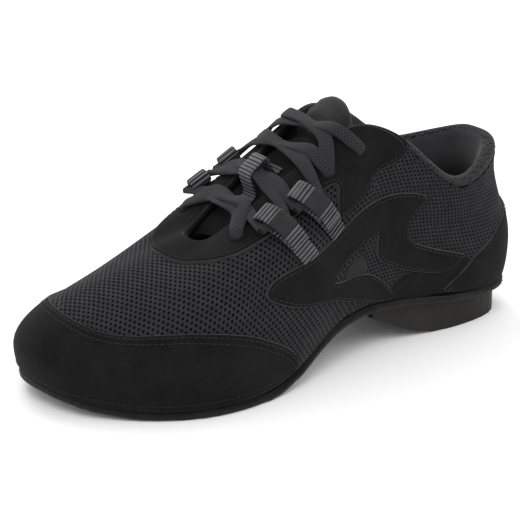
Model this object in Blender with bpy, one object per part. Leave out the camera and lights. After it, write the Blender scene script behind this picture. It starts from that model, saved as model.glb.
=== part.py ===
"""Low dance sneaker for the left foot, in metres: toe at -X, heel at +X, up is +Z, outer side of the foot at -Y."""
import math

import bmesh
import bpy
import numpy as np
from mathutils import Matrix, geometry

for stale in list(bpy.data.objects):
    bpy.data.objects.remove(stale, do_unlink=True)

# main sizes
LENGTH = 0.242
BALL_WIDTH = 0.094
INSTEP_HEIGHT = 0.104
HEEL_LIFT = 0.0185
JOINT_GAP = 0.0003
HEEL_GAP = 0.0005
INSOLE_GAP = 0.0006
TONGUE_GAP = 0.0010

# thicknesses
OUTSOLE_THICKNESS = 0.0028
OUTSOLE_EDGE = 0.0022
INSOLE_THICKNESS = 0.0035
VAMP_WALL = 0.0022
COLLAR_WALL = 0.0062
TONGUE_THICKNESS = 0.0048
OVERLAY_THICKNESS = 0.0012
OVERLAY_GAP = 0.0006
BELLY_OUT = 0.0042
BELLY_RISE = 0.016
BELLY_SHARE = 0.16
INWARD_BIAS = 0.006

# where the padding of the collar begins and is full, in rows from the toe and in rise
PAD_ROWS = (6.6, 8.6)
PAD_RISE = (0.45, 0.80)

# plan outline of the feather line; at is a share of LENGTH, lateral and medial are shares of BALL_WIDTH
FEATHER_COLUMNS = ("at", "lateral", "medial")
FEATHER = (
    (0.0000, -0.075, 0.075),
    (0.0220, 0.150, 0.240),
    (0.0750, 0.310, 0.345),
    (0.1550, 0.455, 0.420),
    (0.2450, 0.535, 0.460),
    (0.3350, 0.525, 0.455),
    (0.4300, 0.465, 0.390),
    (0.5300, 0.365, 0.300),
    (0.6400, 0.305, 0.265),
    (0.7500, 0.290, 0.285),
    (0.8550, 0.285, 0.290),
    (0.9450, 0.225, 0.225),
    (0.9850, 0.115, 0.115),
    (0.9975, 0.000, 0.000),
)

# underside of the outsole above the ground: at, a share of LENGTH, and up, a share of HEEL_LIFT
BOTTOM = (
    (0.00, 0.40),
    (0.06, 0.15),
    (0.13, 0.02),
    (0.20, 0.00),
    (0.35, 0.00),
    (0.42, 0.24),
    (0.49, 0.66),
    (0.56, 0.95),
    (0.63, 1.05),
    (0.72, 0.97),
    (0.82, 0.80),
    (0.92, 0.73),
    (1.00, 0.73),
)

# top line from the front of the throat back round the collar, one row for each row of FEATHER
# at is a share of LENGTH, lateral and medial of BALL_WIDTH, up and up_medial of INSTEP_HEIGHT
TOPLINE_COLUMNS = ("at", "lateral", "medial", "up", "up_medial")
TOPLINE = (
    (0.308, 0.000, 0.000, 0.580, 0.580),
    (0.315, 0.070, 0.070, 0.578, 0.578),
    (0.342, 0.108, 0.108, 0.600, 0.600),
    (0.385, 0.128, 0.128, 0.665, 0.665),
    (0.440, 0.142, 0.142, 0.750, 0.755),
    (0.500, 0.155, 0.155, 0.845, 0.855),
    (0.560, 0.170, 0.172, 0.935, 0.950),
    (0.625, 0.195, 0.200, 1.000, 1.010),
    (0.710, 0.275, 0.265, 0.905, 0.925),
    (0.800, 0.320, 0.305, 0.715, 0.775),
    (0.880, 0.285, 0.275, 0.710, 0.755),
    (0.940, 0.195, 0.190, 0.765, 0.780),
    (0.965, 0.102, 0.102, 0.795, 0.798),
    (0.970, 0.000, 0.000, 0.800, 0.800),
)

# cross sections of the upper, one row for each row of FEATHER
# out and rise scale the belly, rising and arriving are handle lengths as shares of the span, lean in degrees
SECTION_COLUMNS = ("out", "rise", "rising", "arriving", "lean")
SECTION = (
    (0.60, 0.70, 0.20, 0.40, 20.0),
    (0.60, 0.70, 0.20, 0.40, 20.0),
    (0.60, 0.75, 0.20, 0.40, 20.0),
    (0.60, 0.80, 0.22, 0.40, 22.0),
    (0.60, 0.85, 0.27, 0.38, 26.0),
    (0.60, 0.90, 0.32, 0.36, 32.0),
    (0.70, 0.95, 0.36, 0.34, 38.0),
    (0.90, 1.10, 0.37, 0.34, 48.0),
    (1.00, 1.20, 0.36, 0.34, 66.0),
    (0.80, 1.20, 0.34, 0.34, 84.0),
    (0.65, 1.20, 0.34, 0.34, 98.0),
    (0.60, 1.20, 0.34, 0.34, 102.0),
    (0.60, 1.20, 0.34, 0.34, 102.0),
    (0.60, 1.20, 0.34, 0.34, 102.0),
)

HEEL_END = len(FEATHER) - 1
ROUND = 2 * HEEL_END
UP = np.array([0.0, 0.0, 1.0])


def named(columns, row):
    """Row of a table read by the names of its columns."""
    return dict(zip(columns, row))


def eased_curve(rows):
    """Smooth curve through rows of (place, value) that never swings past them."""
    place = np.array([row[0] for row in rows], float)
    value = np.array([row[1] for row in rows], float)
    step = np.diff(place)
    rate = np.diff(value) / step
    slope = np.zeros(len(place))
    slope[0] = rate[0]
    slope[-1] = rate[-1]
    for i in range(1, len(place) - 1):
        if rate[i - 1] * rate[i] > 0:
            before = 2 * step[i] + step[i - 1]
            after = step[i] + 2 * step[i - 1]
            slope[i] = (before + after) / (before / rate[i - 1] + after / rate[i])

    def at(x):
        x = np.asarray(x, float)
        i = np.clip(np.searchsorted(place, x) - 1, 0, len(place) - 2)
        f = (x - place[i]) / step[i]
        start = (1 + 2 * f) * (1 - f) ** 2 * value[i] + f * (1 - f) ** 2 * step[i] * slope[i]
        end = f * f * (3 - 2 * f) * value[i + 1] + f * f * (f - 1) * step[i] * slope[i + 1]
        return start + end

    return at


def closed_curve(values):
    """Smooth closed curve through evenly counted values, read by row number."""
    value = np.asarray(values, float)
    count = len(value)
    ring = np.arange(count)
    matrix = np.zeros((count, count))
    matrix[ring, ring] = 4
    matrix[ring, (ring + 1) % count] = 1
    matrix[ring, (ring - 1) % count] = 1
    slope = np.linalg.solve(matrix, 3 * (np.roll(value, -1, 0) - np.roll(value, 1, 0)))

    def at(row):
        row = np.asarray(row, float)
        i = np.floor(row).astype(int)
        f = (row - i)[..., None]
        near = i % count
        far = (i + 1) % count
        start = (1 + 2 * f) * (1 - f) ** 2 * value[near] + f * (1 - f) ** 2 * slope[near]
        end = f * f * (3 - 2 * f) * value[far] + f * f * (f - 1) * slope[far]
        return start + end

    return at


sole_rise = eased_curve(BOTTOM)


def sole_lift(x):
    """Height of the outsole's underside above the ground at x."""
    return HEEL_LIFT * sole_rise(x / LENGTH + 0.5)


def seat(x):
    """Height at x where the upper and the insole sit on the outsole."""
    return sole_lift(x) + OUTSOLE_THICKNESS + JOINT_GAP


def unit(vectors):
    return vectors / np.maximum(np.linalg.norm(vectors, axis=-1, keepdims=True), 1e-12)


def section_of(index):
    """Row of the tables and side of the shoe for a place counted from the toe along the lateral side."""
    if index <= HEEL_END:
        return index, -1.0
    return ROUND - index, 1.0


def plan_rows():
    """Feather points, one for each place round the shoe."""
    points = []
    for index in range(ROUND):
        row, side = section_of(index)
        edge = named(FEATHER_COLUMNS, FEATHER[row])
        x = (edge["at"] - 0.5) * LENGTH
        y = (-edge["lateral"] if side < 0 else edge["medial"]) * BALL_WIDTH
        points.append((x, y, float(seat(x))))
    return np.array(points)


def surface_rows():
    """Control points of every cross section: feather, belly, two handles and top line."""
    feather = plan_rows()
    along = np.roll(feather, -1, 0) - np.roll(feather, 1, 0)
    outward = unit(np.stack([along[:, 1], -along[:, 0], np.zeros(ROUND)], 1))
    sets = []
    for index in range(ROUND):
        row, side = section_of(index)
        shape = named(SECTION_COLUMNS, SECTION[row])
        line = named(TOPLINE_COLUMNS, TOPLINE[row])
        y = (-line["lateral"] if side < 0 else line["medial"]) * BALL_WIDTH
        height = (line["up"] if side < 0 else line["up_medial"]) * INSTEP_HEIGHT
        top = np.array([(line["at"] - 0.5) * LENGTH, y, height])
        out = outward[index]
        belly = feather[index] + out * shape["out"] * BELLY_OUT + UP * shape["rise"] * BELLY_RISE
        span = np.linalg.norm(top - belly)
        inward = unit((top - belly) * (1, 1, 0) - out * INWARD_BIAS)
        angle = math.radians(shape["lean"])
        arrival = inward * math.cos(angle) + UP * math.sin(angle)
        handles = (belly + UP * shape["rising"] * span, top - arrival * shape["arriving"] * span)
        sets.append((feather[index], belly, *handles, top))
    return [closed_curve(points) for points in zip(*sets)]


SURFACE = surface_rows()


def upper_skin(row, rise):
    """Point on the upper's outer face: row goes round the shoe, rise from feather line to top line."""
    row, rise = np.broadcast_arrays(np.asarray(row, float), np.asarray(rise, float))
    feather, belly, lower, higher, top = [curve(row) for curve in SURFACE]
    a = np.clip(rise / BELLY_SHARE, 0, 1)[..., None]
    corner = belly - UP * (belly - feather)[..., 2:3] * 0.6
    below = (1 - a) ** 2 * feather + 2 * a * (1 - a) * corner + a**2 * belly
    b = np.clip((rise - BELLY_SHARE) / (1 - BELLY_SHARE), 0, None)[..., None]
    above = (1 - b) ** 3 * belly + 3 * b * (1 - b) ** 2 * lower + 3 * b**2 * (1 - b) * higher + b**3 * top
    return np.where(rise[..., None] <= BELLY_SHARE, below, above)


def skin_normal(row, rise):
    """Outward direction of the upper's outer face, level at the feather line."""
    row, rise = np.broadcast_arrays(np.asarray(row, float), np.asarray(rise, float))
    step = 0.01
    around = upper_skin(row + step, rise) - upper_skin(row - step, rise)
    low = np.clip(rise - step, 0, None)
    climb = upper_skin(row, rise + step) - upper_skin(row, low)
    normal = np.cross(around, climb)
    level = np.clip(rise / BELLY_SHARE, 0, 1)
    normal[..., 2] *= level * level * (3 - 2 * level)
    return unit(normal)


def raised(row, rise, height):
    """Point a given height off the upper's outer face."""
    return upper_skin(row, rise) + skin_normal(row, rise) * np.asarray(height)[..., None]


def wall(row, rise):
    """Wall of the upper: thin over the forefoot, padded at the collar."""
    place = np.abs((np.asarray(row, float) + HEEL_END) % ROUND - HEEL_END)
    back = np.clip((place - PAD_ROWS[0]) / (PAD_ROWS[1] - PAD_ROWS[0]), 0, 1)
    high = np.clip((np.asarray(rise, float) - PAD_RISE[0]) / (PAD_RISE[1] - PAD_RISE[0]), 0, 1)
    share = back * back * (3 - 2 * back) * high * high * (3 - 2 * high)
    return VAMP_WALL + (COLLAR_WALL - VAMP_WALL) * share


def material(name, colour, roughness):
    made = bpy.data.materials.new(name)
    made.use_nodes = True
    shader = made.node_tree.nodes["Principled BSDF"]
    shader.inputs["Base Color"].default_value = (*colour, 1.0)
    shader.inputs["Roughness"].default_value = roughness
    return made


MATERIALS = {
    "air_mesh": material("air_mesh", (0.020, 0.020, 0.023), 0.80),
    "suede": material("suede", (0.014, 0.014, 0.016), 0.95),
    "suede_sole": material("suede_sole", (0.060, 0.056, 0.052), 0.95),
    "heel_rubber": material("heel_rubber", (0.030, 0.026, 0.025), 0.55),
    "foam_lining": material("foam_lining", (0.030, 0.030, 0.033), 0.90),
    "tongue_cloth": material("tongue_cloth", (0.022, 0.022, 0.025), 0.85),
    "webbing": material("webbing", (0.080, 0.080, 0.085), 0.50),
    "lace_cord": material("lace_cord", (0.050, 0.050, 0.054), 0.70),
}


def solid(name, points, faces, surface):
    """Named object from points and faces, with its faces turned outward."""
    mesh = bpy.data.meshes.new(name)
    mesh.from_pydata([tuple(map(float, point)) for point in points], [], faces)
    mesh.materials.append(MATERIALS[surface])
    work = bmesh.new()
    work.from_mesh(mesh)
    bmesh.ops.remove_doubles(work, verts=work.verts, dist=1e-7)
    bmesh.ops.recalc_face_normals(work, faces=work.faces)
    if work.calc_volume(signed=True) < 0:
        bmesh.ops.reverse_faces(work, faces=work.faces)
    work.to_mesh(mesh)
    work.free()
    made = bpy.data.objects.new(name, mesh)
    bpy.context.collection.objects.link(made)
    return made


def ring_faces(rings, count):
    """Quads between rings of count points, closed round and from the last ring back to the first."""
    faces = []
    for i in range(rings):
        for j in range(count):
            k = (j + 1) % count
            m = (i + 1) % rings
            faces.append((i * count + j, i * count + k, m * count + k, m * count + j))
    return faces


def upper():
    around = np.arange(3 * ROUND) / 3
    rises = np.concatenate([np.linspace(0, BELLY_SHARE, 4), np.linspace(BELLY_SHARE, 1, 10)[1:]])
    inner_rises = np.concatenate([[0.0, BELLY_SHARE / 2], np.linspace(BELLY_SHARE, 1, 7)])
    rings = [upper_skin(around, rise) for rise in rises]
    edge = upper_skin(around, 1.0)
    out = skin_normal(around, 1.0)
    climb = unit(upper_skin(around, 1.0) - upper_skin(around, 0.98))
    half = wall(around, 1.0)[:, None] / 2
    for angle in (45, 90, 135):
        a = math.radians(angle)
        rings.append(edge - out * half + half * (out * math.cos(a) + climb * math.sin(a)))
    for rise in inner_rises[::-1]:
        rings.append(raised(around, rise, -wall(around, rise)))
    rings[-1][:, 2] = seat(rings[-1][:, 0])
    rings[0][:, 2] = seat(rings[0][:, 0])
    points = np.concatenate(rings)
    solid("upper", points, ring_faces(len(rings), len(around)), "air_mesh")


def plan_point(row, inset):
    """Feather outline point moved inward."""
    here = SURFACE[0](row)
    along = SURFACE[0](np.asarray(row) + 0.02) - SURFACE[0](np.asarray(row) - 0.02)
    outward = unit(np.stack([along[..., 1], -along[..., 0], np.zeros_like(along[..., 0])], -1))
    return here - outward * inset


def slab_faces(rows, across):
    """Faces of a slab given as two grids of points, the under side first."""
    layer = rows * across
    faces = []
    for i in range(rows - 1):
        for j in range(across - 1):
            a = i * across + j
            quad = (a, a + 1, a + across + 1, a + across)
            faces.append(quad[::-1])
            faces.append(tuple(k + layer for k in quad))
        for a, b in ((i * across, (i + 1) * across), ((i + 2) * across - 1, (i + 1) * across - 1)):
            faces.append((a, b, b + layer, a + layer))
    for start in (0, (rows - 1) * across):
        for j in range(start, start + across - 1):
            faces.append((j, j + 1, j + 1 + layer, j + layer))
    return faces


def plate(name, rows, inset, low, high, across, surface):
    """Closed plate between two heights, its outline the feather line moved inward."""
    lateral = plan_point(rows, inset)
    medial = plan_point(ROUND - rows, inset)
    share = np.linspace(0, 1, across)
    points = []
    for level in (low, high):
        for a, b in zip(lateral, medial):
            for s in share:
                x, y = (a + (b - a) * s)[:2]
                points.append((x, y, float(level(x))))
    return solid(name, points, slab_faces(len(rows), across), surface)


TOE_ROWS = (0.15, 0.4, 0.7)
BODY_ROWS = tuple(np.arange(3, 3 * HEEL_END - 2) / 3)
BACK_ROWS = tuple(HEEL_END - np.array([0.6, 0.3, 0.1]))
HEEL_ROW = 8
HEEL_INSET = 0.0022


def outsole():
    rows = np.array([0.0, *TOE_ROWS, *BODY_ROWS, *BACK_ROWS, HEEL_END])

    def top(x):
        return sole_lift(x) + OUTSOLE_THICKNESS

    plate("outsole", rows, -OUTSOLE_EDGE, sole_lift, top, 5, "suede_sole")


def insole():
    rows = np.array([*TOE_ROWS, *BODY_ROWS, *BACK_ROWS])

    def top(x):
        return seat(x) + INSOLE_THICKNESS

    plate("insole", rows, VAMP_WALL + INSOLE_GAP, seat, top, 5, "foam_lining")


# how far the heel block reaches down from the outsole; at a share of LENGTH, drop a share of the lift there
HEEL_DROP = (
    (0.610, 0.08),
    (0.660, 0.34),
    (0.715, 0.68),
    (0.785, 0.96),
    (0.805, 1.00),
    (1.000, 1.00),
)
heel_reach = eased_curve(HEEL_DROP)


def heel():
    rows = np.array([row for row in (*BODY_ROWS, *BACK_ROWS) if row >= HEEL_ROW])

    def top(x):
        return sole_lift(x) - HEEL_GAP

    def low(x):
        return top(x) * (1 - heel_reach(x / LENGTH + 0.5))

    plate("heel", rows, HEEL_INSET, low, top, 6, "heel_rubber")


# tongue: the rows it runs between, its reach down inside, and how its crown bulges and leans toward the top
TONGUE_FRONT = 2.6
TONGUE_BACK = 6.3
TONGUE_REACH = 0.20
TONGUE_ROWS = 12
CROWN_FROM = 4.0
CROWN_BULGE = (0.36, 0.50)
CROWN_LEAN = np.array([-0.30, 0.0, 0.05])
TONGUE_ROOT = np.array([-0.010, 0.0, -0.0055])
TIP_COLUMNS = ("step", "narrow")
TONGUE_TIP = (
    (0.002, 0.97),
    (0.003, 0.92),
)


def tongue_arc(row, depth):
    """Points across the tongue at one row, following the inside of the throat and bridging the slot."""
    down = wall(row, 1.0) + TONGUE_GAP + depth
    rise = np.linspace(1 - TONGUE_REACH, 1.0, 4)
    lateral, medial = [raised(place, rise, -down * np.ones(4)) for place in (row, ROUND - row)]
    start = unit(lateral[-1] - lateral[-2])
    finish = unit(medial[-1] - medial[-2])
    a, d = lateral[-1], medial[-1]
    share = np.clip((row - CROWN_FROM) / (TONGUE_BACK - CROWN_FROM), 0, 1)
    bulge = np.linalg.norm(a - d) * np.interp(share, (0, 1), CROWN_BULGE)
    b, c = a + (start + CROWN_LEAN * share) * bulge, d + (finish + CROWN_LEAN * share) * bulge
    f = np.linspace(0, 1, 7)[1:-1, None]
    bridge = (1 - f) ** 3 * a + 3 * f * (1 - f) ** 2 * b + 3 * f**2 * (1 - f) * c + f**3 * d
    return np.concatenate([lateral, bridge, medial[::-1]])


def tongue():
    rows = np.linspace(TONGUE_FRONT, TONGUE_BACK, TONGUE_ROWS)
    layers = [np.array([tongue_arc(row, depth) for row in rows]) for depth in (0.0, TONGUE_THICKNESS)]
    back = unit(layers[0][-1].mean(0) - layers[0][-3].mean(0))
    points = []
    for layer in layers:
        grown = [layer[0] + TONGUE_ROOT, *layer]
        middle = layer[-1].mean(0)
        for tip in TONGUE_TIP:
            shape = named(TIP_COLUMNS, tip)
            grown.append(middle + (layer[-1] - middle) * (1.0, shape["narrow"], 1.0) + back * shape["step"])
            middle = grown[-1].mean(0)
        points.append(grown)
    points = np.array(points)
    solid("tongue", points.reshape(-1, 3), slab_faces(*points.shape[1:3]), "tongue_cloth")


# outlines of the overlays; row counts round the shoe from the toe, rise is a share from sole to top line
SEAT_RISE = 0.012
EDGE_RISE = 0.985
TOE_CAP_TOP = (
    (-5.75, 0.06),
    (-5.50, 0.17),
    (-4.90, 0.27),
    (-4.10, 0.35),
    (-3.00, 0.43),
    (-1.60, 0.47),
    (0.00, 0.48),
    (1.60, 0.45),
    (3.00, 0.45),
    (3.90, 0.39),
    (4.70, 0.32),
    (5.40, 0.22),
    (5.80, 0.12),
)
EYESTAY_LOWER = (
    (8.00, 0.93),
    (7.80, 0.83),
    (7.42, 0.73),
    (7.38, 0.64),
    (7.15, 0.57),
    (6.72, 0.53),
    (6.60, 0.66),
    (6.55, 0.74),
    (6.15, 0.77),
    (5.50, 0.75),
    (4.60, 0.74),
    (3.75, 0.74),
    (3.10, 0.77),
    (2.20, 0.83),
    (1.00, 0.88),
)
FLAME = (
    (4.78, 0.47),
    (4.95, 0.52),
    (5.50, 0.51),
    (6.10, 0.48),
    (6.60, 0.47),
    (6.95, 0.49),
    (7.30, 0.54),
    (7.85, 0.64),
    (8.60, 0.78),
    (8.50, 0.66),
    (8.36, 0.48),
    (8.48, 0.35),
    (9.00, 0.30),
    (9.50, 0.24),
    (9.90, 0.18),
    (9.50, 0.11),
    (8.78, 0.12),
    (8.20, 0.15),
    (7.83, 0.22),
    (7.77, 0.32),
    (7.77, 0.40),
    (7.35, 0.33),
    (6.68, 0.27),
    (6.93, 0.22),
    (7.40, 0.19),
    (7.90, 0.13),
    (8.25, 0.06),
    (8.30, SEAT_RISE),
    (8.00, SEAT_RISE),
    (7.25, 0.09),
    (6.33, 0.24),
    (5.40, 0.37),
)
COUNTER_TOP = (
    (9.60, 0.08),
    (10.05, 0.15),
    (10.45, 0.26),
    (10.95, 0.38),
    (11.60, 0.45),
    (12.40, 0.49),
)
ROW_SPAN = 0.012
RISE_SPAN = 0.090


def mirrored(rows, about):
    """Rows copied to the other side of the shoe, in turned order."""
    return [(about - row, rise) for row, rise in reversed(rows)]


def softened(outline, rounds=2):
    """Closed outline with its corners cut back."""
    points = np.array(outline, float)
    for _ in range(rounds):
        after = np.roll(points, -1, 0)
        points = np.stack([points * 0.78 + after * 0.22, points * 0.22 + after * 0.78], 1).reshape(-1, 2)
    return points


def evened(points, spacing):
    """Closed outline read again at even steps, measured on the shoe."""
    scale = np.array([ROW_SPAN, RISE_SPAN])
    loop = np.vstack([points, points[:1]])
    run = np.concatenate([[0], np.cumsum(np.linalg.norm(np.diff(loop * scale, axis=0), axis=1))])
    count = max(12, int(run[-1] / spacing))
    at = np.linspace(0, run[-1], count, endpoint=False)
    return np.stack([np.interp(at, run, loop[:, 0]), np.interp(at, run, loop[:, 1])], 1)


def inside(point, outline):
    x, y = point
    a, b = outline, np.roll(outline, -1, 0)
    spans = (a[:, 1] > y) != (b[:, 1] > y)
    cross = a[:, 0] + (y - a[:, 1]) * (b[:, 0] - a[:, 0]) / np.where(b[:, 1] == a[:, 1], 1, b[:, 1] - a[:, 1])
    return bool(np.count_nonzero(spans & (x < cross)) % 2)


def overlay(name, outline, spacing, surface):
    """Sheet of even thickness that follows the upper inside an outline."""
    scale = np.array([ROW_SPAN, RISE_SPAN])
    edge = evened(softened(outline), spacing) * scale
    points = [tuple(point) for point in edge]
    low, high = edge.min(0), edge.max(0)
    for i, x in enumerate(np.arange(low[0], high[0], spacing)):
        for y in np.arange(low[1] + (i % 2) * spacing / 2, high[1], spacing):
            near = np.linalg.norm(edge - (x, y), axis=1).min()
            if near > spacing * 0.55 and inside((x, y), edge):
                points.append((x, y))
    found = geometry.delaunay_2d_cdt(points, [], [list(range(len(edge)))], 1, 1e-7)
    flat = np.array([tuple(point) for point in found[0]]) / scale
    triangles = [tuple(face) for face in found[2]]
    sides = {}
    for face in triangles:
        for a, b in zip(face, face[1:] + face[:1]):
            sides[(a, b)] = sides.get((a, b), 0) + 1
    rim = [(a, b) for a, b in sides if (b, a) not in sides]
    base = raised(flat[:, 0], flat[:, 1], np.full(len(flat), OVERLAY_GAP))
    face_side = raised(flat[:, 0], flat[:, 1], np.full(len(flat), OVERLAY_GAP + OVERLAY_THICKNESS))
    count = len(flat)
    faces = [face[::-1] for face in triangles]
    faces += [tuple(k + count for k in face) for face in triangles]
    faces += [(a, b, b + count, a + count) for a, b in rim]
    return solid(name, np.concatenate([base, face_side]), faces, surface)


def overlays():
    toe = list(TOE_CAP_TOP)
    overlay("toe_cap", [(-5.80, SEAT_RISE), *toe, (5.90, SEAT_RISE)], 0.006, "suede")
    lower = list(EYESTAY_LOWER)
    inner = [(row, EDGE_RISE) for row in np.linspace(-7.9, 7.9, 25)]
    overlay("eyestay", [*inner, *lower, *mirrored(lower, 0.0)], 0.006, "suede")
    overlay("side_overlay_lateral", FLAME, 0.0055, "suede")
    overlay("side_overlay_medial", mirrored(FLAME, ROUND), 0.0055, "suede")
    top = list(COUNTER_TOP)
    ends = ((9.25, SEAT_RISE), (ROUND - 9.25, SEAT_RISE))
    overlay("heel_counter", [ends[0], *top, *mirrored(top, ROUND), ends[1]], 0.0048, "suede")


def ribbon(name, centres, across, normals, width, thickness, surface):
    """Flat band swept along a path, its width along across and its thickness along normals."""
    side = across * width / 2
    lift = normals * thickness / 2
    corners = (centres - side - lift, centres + side - lift, centres + side + lift, centres - side + lift)
    points = np.stack(corners, 1).reshape(-1, 3)
    faces = [(3, 2, 1, 0)]
    for i in range(len(centres) - 1):
        for j in range(4):
            k = (j + 1) % 4
            faces.append((4 * i + j, 4 * i + k, 4 * i + 4 + k, 4 * i + 4 + j))
    last = 4 * len(centres) - 4
    faces.append((last, last + 1, last + 2, last + 3))
    return solid(name, points, faces, surface)


# webbing loops that carry the lace: name, then row and rise at the side overlay and at the throat
STRAPS = (
    ("front", 5.79, 0.540, 4.42, 0.815),
    ("back", 6.62, 0.520, 5.35, 0.815),
)
STRAP_WIDTH = 0.0095
STRAP_THICKNESS = 0.0010
STRAP_GAP = 0.0009
LOOP_UNDERLAP = 0.011

# how the outer layer of a loop comes down behind the lace; share is of the loop's height
DROP_COLUMNS = ("back", "share")
STRAP_DROP = (
    (-0.0050, 1.00),
    (-0.0090, 0.80),
    (-0.0125, 0.38),
    (-0.0160, 0.06),
)
CLIMB_RISE = (0.60, 0.69)
LOOP_CLEARANCE = 0.0005

# lace: row and rise of the plain holes in the eyestay; the two straps lie between the first and the second
HOLES = (
    (3.50, 0.850),
    (6.15, 0.840),
    (7.00, 0.870),
)
LACE_WIDTH = 0.0060
LACE_THICKNESS = 0.0030
LACE_CLEARANCE = 0.0008
LACE_SIDES = 6
CROWN_LIFT = 1.2
LACE_GATHER = 0.66
HOLE_SPREAD = 0.22
LOOP_SPREAD = 0.42
LOOP_PASS = 0.0068
GATHER_SHARE = 0.22
MOUTH_STEP = LACE_THICKNESS * LACE_GATHER / 2 + 0.0008
THROUGH_REACH = 1.06
THROUGH_SIZE = LACE_GATHER * 0.94

EYESTAY_TOP = OVERLAY_GAP + OVERLAY_THICKNESS
LACE_ON_EYESTAY = EYESTAY_TOP + LACE_CLEARANCE + LACE_THICKNESS / 2
LOOP_FLOOR = EYESTAY_TOP + STRAP_GAP + STRAP_THICKNESS
LOOP_HEIGHT = LACE_THICKNESS + 2 * LOOP_CLEARANCE + STRAP_THICKNESS
LACE_IN_LOOP = LOOP_FLOOR + LOOP_CLEARANCE + LACE_THICKNESS / 2
LACE_ON_EDGE = LACE_ON_EYESTAY + (LACE_WIDTH - LACE_THICKNESS) * 0.4


class StrapLine:
    """Straight line of a strap over the upper, from the side overlay to the throat."""

    def __init__(self, side, low_row, low_rise, high_row, high_rise):
        self.low = np.array([low_row, low_rise])
        self.high = np.array([high_row, high_rise])
        if side > 0:
            self.low[0] = ROUND - self.low[0]
            self.high[0] = ROUND - self.high[0]
        self.length = np.linalg.norm(upper_skin(*self.high) - upper_skin(*self.low))

    def place(self, back):
        """Row and rise at a distance from the top end, negative toward the sole."""
        share = 1 + np.asarray(back, float) / self.length
        return [self.low[k] + (self.high[k] - self.low[k]) * share for k in (0, 1)]

    def frame(self, back, height):
        """Point, direction up the strap, direction across it and lift off the upper."""
        row, rise = self.place(back)
        ahead = upper_skin(*self.place(np.asarray(back) + 0.001))
        along = unit(ahead - upper_skin(row, rise))
        lift = skin_normal(row, rise)
        return raised(row, rise, height), along, unit(np.cross(along, lift)), lift


def strap(name, line):
    """Webbing band up the side, folded over the lace at its top and turned back under itself."""
    under = EYESTAY_TOP + STRAP_GAP + STRAP_THICKNESS / 2
    over = under + LOOP_HEIGHT
    radius = LOOP_HEIGHT / 2
    path = [(-LOOP_UNDERLAP, under), (-LOOP_UNDERLAP / 2, under), (0.0, under)]
    for angle in np.radians((36, 72, 108, 144, 180)):
        path.append((radius * math.sin(angle), under + radius - radius * math.cos(angle)))
    for step in STRAP_DROP:
        place = named(DROP_COLUMNS, step)
        path.append((place["back"], under + place["share"] * LOOP_HEIGHT))
    on_mesh = OVERLAY_GAP + STRAP_THICKNESS / 2
    for share in (0.50, 0.35, 0.18, 0.0):
        back = -line.length * (1 - share)
        climb = np.clip((line.place(back)[1] - CLIMB_RISE[0]) / (CLIMB_RISE[1] - CLIMB_RISE[0]), 0, 1)
        path.append((back, on_mesh + (under - on_mesh) * climb))
    back, height = np.array(path).T
    centres, _, across, _ = line.frame(back, height)
    way = unit(np.gradient(centres, axis=0))
    return ribbon(name, centres, across, unit(np.cross(across, way)), STRAP_WIDTH, STRAP_THICKNESS, "webbing")


def strap_lines(side):
    return [(label, StrapLine(side, *places)) for label, *places in STRAPS]


def straps():
    for side, word in ((-1.0, "lateral"), (1.0, "medial")):
        for label, line in strap_lines(side):
            strap("strap_" + word + "_" + label, line)


class Stop:
    """Place the lace passes on one side: its middle, its ways out toward toe and heel, and the lift there."""

    def __init__(self, row, middle, ways, edges, lift, turned):
        self.row = row
        self.middle = middle
        self.ways = ways
        self.edges = edges
        self.lift = lift
        self.turned = turned


def plain_stop(row, rise, side):
    place = row if side < 0 else ROUND - row
    here = raised(place, rise, LACE_ON_EYESTAY)
    lift = skin_normal(place, rise)
    return Stop(row, here, ([here], [here]), (row - HOLE_SPREAD, row + HOLE_SPREAD), lift, lift)


def loop_stop(line, side):
    back = -LACE_WIDTH / 2 - LOOP_CLEARANCE
    centre, _, across, lift = line.frame(back, LACE_IN_LOOP)
    past = line.frame(LOOP_PASS, LACE_ON_EDGE)[0]
    forward = across * np.sign(-across[0]) * (STRAP_WIDTH / 2 + MOUTH_STEP)
    row = float(line.place(LOOP_PASS)[0])
    row = row if side < 0 else ROUND - row
    ways = ([centre + forward, past + forward], [centre - forward])
    return Stop(row, centre, ways, (row - LOOP_SPREAD, row + LOOP_SPREAD), lift, -unit(forward) * side)


def lace_stops(side):
    """Stops of one side from toe to heel."""
    front, *behind = [plain_stop(row, rise, side) for row, rise in HOLES]
    return [front, *[loop_stop(line, side) for _, line in strap_lines(side)], *behind]


def curve_through(points, split):
    """Stations along a smooth curve through points, each gap split evenly, and the points' shares of the run."""
    points = np.array(points)
    run = np.concatenate([[0], np.cumsum(np.linalg.norm(np.diff(points, axis=0), axis=1))])
    count = len(points) - 1
    at = np.interp(np.linspace(0, count, count * split + 1), np.arange(count + 1), run)
    axes = [eased_curve(list(zip(run, points[:, k])))(at) for k in range(3)]
    return np.stack(axes, 1), at / run[-1], run / run[-1]


def gathered(share):
    """Size of a run of lace along its length: drawn together at the two ends."""
    end = np.clip(np.minimum(share, 1 - share) / GATHER_SHARE, 0, 1)
    return LACE_GATHER + (1 - LACE_GATHER) * end * end * (3 - 2 * end)


def drawn_through(share):
    """Size of the short piece of lace inside a loop."""
    return np.full(np.shape(share), THROUGH_SIZE)


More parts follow.
